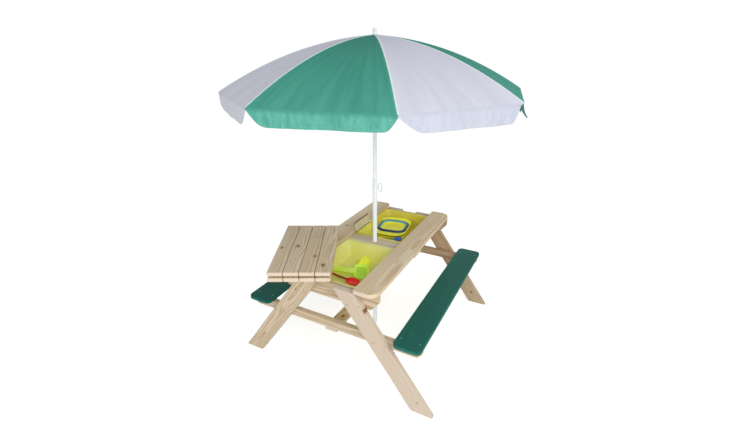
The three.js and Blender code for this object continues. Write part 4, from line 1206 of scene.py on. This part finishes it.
# The last number is how much each plastic glows: painted light
for tint, deep, pale, glow in (
        ("lime", (240, 240, 50), (248, 248, 66), 0.08), ("navy", (18, 48, 84), (26, 70, 104), 0.0),
        ("teal", (84, 170, 176), (112, 190, 194), 0.0), ("warm_yellow", (236, 226, 40), (246, 238, 56), 0.05),
        ("maroon", (70, 26, 10), (86, 34, 14), 0.0), ("blue", (64, 112, 214), (80, 132, 232), 0.0),
        ("leaf_green", (132, 178, 70), (150, 194, 84), 0.0), ("cream", (214, 202, 160), (226, 216, 176), 0.0),
        ("lemon", (240, 240, 96), (248, 248, 120), 0.06), ("dark_red", (170, 40, 6), (190, 52, 12), 0.0),
        ("red", (252, 20, 10), (255, 34, 20), 0.1), ("bright_lime", (208, 244, 70), (220, 252, 90), 0.1),
        ("deep_lime", (182, 230, 52), (194, 240, 66), 0.06),
        ("dome_yellow", (248, 250, 60), (252, 254, 80), 0.08)):
    toy_plastic[tint] = moulded_plastic(f"{tint}_plastic", deep, pale, 0.35, Emission_Color=colour(*pale),
                                        Emission_Strength=glow)


def moulded_rings(name, corner, rings, *tints):
    """Draws a moulding up from its closed foot, a rectangle with round corners, ring by ring. Each ring is
    (half length, half width, height) and, if it isn't the first tint, the number of its wall's tint."""
    half_x, half_y, height = rings[0][:3]
    piece = start_piece(bpy.ops.mesh.primitive_plane_add, name, (half_x, half_y, 1), size=2)
    for tint in tints:
        piece.data.materials.append(toy_plastic[tint])
    open_mesh(piece)
    bpy.ops.mesh.bevel(offset=corner, segments=8, affect="VERTICES")
    bpy.ops.transform.translate(value=(0, 0, height))
    bpy.ops.mesh.select_all(action="SELECT")
    for number, (next_x, next_y, next_height, *tint) in enumerate(rings[1:]):
        bpy.ops.mesh.extrude_region_move(TRANSFORM_OT_translate={"value": (0, 0, next_height - height)})
        bpy.ops.transform.resize(value=(next_x / half_x, next_y / half_y, 1),
                                 center_override=(0, 0, next_height))
        half_x, half_y, height = next_x, next_y, next_height
        if len(tints) > 1 and number:
            bpy.ops.mesh.select_more()
            piece.active_material_index = tint[0] if tint else 0
            bpy.ops.object.material_slot_assign()
            bpy.ops.mesh.select_less()
    face_outwards()
    close_mesh()
    bpy.ops.object.shade_smooth_by_angle(angle=radians(45))
    return piece


def add_handle(toy, radius, length, middle, rounding, sides, tint):
    """Joins a round handle to a toy, lying along the toy's own Y."""
    handle = add_drill(radius, length, middle, (pi / 2, 0, 0), sides=sides)
    ease_edges(handle, rounding, 2, 40)
    handle.data.materials.append(toy_plastic[tint])
    join_to(toy, handle)


def lay_in(body, toy, turn, spot):
    """Lays a toy in its bin, turned by so many degrees."""
    set_down(toy, [radians(angle) for angle in turn], spot)
    belongs(toy, body, "bin_plastic")


# The dark maroon band under the bucket's rim is painted shadow
bucket = moulded_rings("folding_bucket", 0.046, [
    (0.082, 0.066, bin_floor + 0.0006), (0.086, 0.070, 0.402), (0.090, 0.073, 0.418), (0.086, 0.069, 0.422),
    (0.096, 0.076, 0.436), (0.1110, 0.0825, 0.4405, 4), (0.1130, 0.0845, 0.4420, 4),
    (0.1130, 0.0845, 0.4465, 4), (0.1145, 0.0860, 0.4475), (0.1150, 0.0865, 0.4505),
    (0.1140, 0.0855, 0.4535), (0.1115, 0.0830, 0.4545), (0.1080, 0.0820, 0.4535),
    (0.1050, 0.0815, 0.4510), (0.0800, 0.0800, 0.4495), (0.0740, 0.0780, 0.4505, 1),
    (0.0725, 0.0770, 0.4550, 1), (0.0705, 0.0755, 0.4565, 1), (0.0640, 0.0690, 0.4565, 1),
    (0.0625, 0.0675, 0.4540, 2), (0.0580, 0.0630, 0.4520, 2), (0.0560, 0.0610, 0.4490, 2),
    (0.0540, 0.0590, 0.4430, 3), (0.0480, 0.0530, 0.4415, 3), (0.0300, 0.0340, 0.4413, 3),
    (0.0280, 0.0320, 0.4420, 3)], "lime", "navy", "teal", "warm_yellow", "maroon")
lay_in("far_bin", bucket, (0, 0, 9), (0.264, 0.024, 0))

# The small scoop leans on the bucket's near corner, with its handle along the bucket's foot
scoop = moulded_rings("small_scoop", 0.0076, [
    (0.008, 0.013, 0.0), (0.0125, 0.019, 0.002), (0.0160, 0.0240, 0.009), (0.0168, 0.0248, 0.0102),
    (0.0158, 0.0238, 0.0106), (0.0148, 0.0228, 0.0098), (0.0116, 0.0180, 0.0032), (0.0070, 0.0120, 0.0014)],
    "blue", "leaf_green")
add_handle(scoop, 0.0042, 0.070, (0, 0.056, 0.0072), 0.0015, 16, "leaf_green")
lay_in("far_bin", scoop, (-14, -16, -6), (0.150, -0.056, 0.4315))

# The sand comb leans out over the left rail: a ribbed grip over a row of tapered teeth, with a dark strip of
# painted shadow along the grip's top and its foot
grip_length, grip_height, grip_foot, grip_middle_x = 0.142, 0.042, 0.095, 0.108
grip_middle_z, tooth_length = grip_foot + grip_height / 2, grip_foot - 0.003
comb = add_block("sand_comb", (grip_length, 0.0030, grip_height), (grip_middle_x, 0, grip_middle_z))
ribs_of_grip = [add_block("grip_rib", (0.0062, 0.0036, grip_height - 0.006),
                          (0.0435 + 0.0129 * number, -0.0024, grip_middle_z)) for number in range(11)]
teeth = []
for number in range(11):
    along = 0.0430 + 0.0130 * number
    tooth = add_block("comb_tooth", (0.0080, 0.0042, tooth_length), (along, 0, tooth_length / 2))
    open_mesh(tooth)
    select_faces(lambda middle, normal: normal.z < -0.9)
    bpy.ops.transform.resize(value=(0.45, 0.45, 1), center_override=(along, 0, 0))
    close_mesh()
    teeth.append(tooth)
shadow_strips = [add_block("comb_back", (grip_length, 0.0022, 0.010), (grip_middle_x, 0, height))
         for height in (grip_foot - 0.004, grip_foot + grip_height)]
for tint, made_of_it in (("cream", (comb, *ribs_of_grip)), ("maroon", shadow_strips), ("lemon", teeth)):
    for piece in made_of_it:
        ease_edges(piece, 0.0005, 2, 40)
        piece.data.materials.append(toy_plastic[tint])
join_to(comb, *shadow_strips, *ribs_of_grip, *teeth)
lay_in("far_bin", comb, (-15, 0, 0), (0, 0.0988, 0.4000))

# The spade: a dished oval blade and a round handle
spade = moulded_rings("spade", 0.0116, [
    (0.012, 0.018, 0.0), (0.0170, 0.0240, 0.0016), (0.0222, 0.0305, 0.0085), (0.0238, 0.0322, 0.0108),
    (0.0232, 0.0316, 0.0118), (0.0222, 0.0304, 0.0112, 1), (0.0168, 0.0236, 0.0058), (0.0100, 0.0160, 0.0042),
    (0.0060, 0.0100, 0.0040)], "red", "dark_red")
add_handle(spade, 0.0048, 0.128, (0, 0.088, 0.0092), 0.0018, 20, "dark_red")
lay_in("near_bin", spade, (2.2, 0, -5), (-0.2685, -0.030, 0.4030))

# The strainer: a wide dish with a slotted floor and a flat handle
strainer = moulded_rings("strainer", 0.0252, [
    (0.055, 0.026, 0.0), (0.0570, 0.0280, 0.0008), (0.0630, 0.0322, 0.0130), (0.0652, 0.0344, 0.0140),
    (0.0646, 0.0338, 0.0150), (0.0622, 0.0314, 0.0144), (0.0560, 0.0270, 0.0036), (0.0530, 0.0240, 0.0026, 1),
    (0.0400, 0.0180, 0.0026, 1)], "bright_lime", "deep_lime")
slots = [add_block("slot_cutter", (0.0034, 0.14, 0.02), (0.0075 * (number - 6), 0, 0)) for number in range(13)]
join_to(slots[0], *slots[1:])
set_down(slots[0], (0, 0, radians(-62)))
cut_with(slots[0], moulded_rings("slotted_floor", 0.0215, [(0.051, 0.022, -0.01), (0.051, 0.022, 0.01)]),
         "INTERSECT")
cut_with(strainer, slots[0])
handle = add_block("strainer_handle", (0.040, 0.110, 0.005), (0, 0.078, 0.0120))
round_corners(handle, 0.012, 5)
ease_edges(handle, 0.0012, 2, 40)
set_down(handle, (0, 0, radians(-16)))
handle.data.materials.append(toy_plastic["bright_lime"])
join_to(strainer, handle)
lay_in("near_bin", strainer, (0, 0, 31), (-0.181, -0.024, 0.4030))

# The shell mould: a fluted dome
rim_length, rim_width, flutes_from, flute_depth = 0.0415, 0.0268, 0.0040, 0.045
shell = moulded_rings("shell_mould", 0.024, [
    (rim_length, rim_width, 0.0), (0.0422, 0.0275, 0.0012), (0.0418, 0.0271, 0.0028), (0.0400, 0.0256, 0.0036),
    (0.0388, 0.0246, 0.0110), (0.0352, 0.0220, 0.0186), (0.0290, 0.0178, 0.0246), (0.0200, 0.0122, 0.0284),
    (0.0090, 0.0054, 0.0300)], "dome_yellow")
for corner in shell.data.vertices:
    if corner.co.z > flutes_from:
        around = math.atan2(corner.co.y / rim_width, corner.co.x / rim_length)
        corner.co.xy *= 1 + flute_depth * cos(10 * around) * min(1, (corner.co.z - flutes_from) / 0.006)
lay_in("near_bin", shell, (0, 0, 12), (-0.090, 0.012, 0.3990))
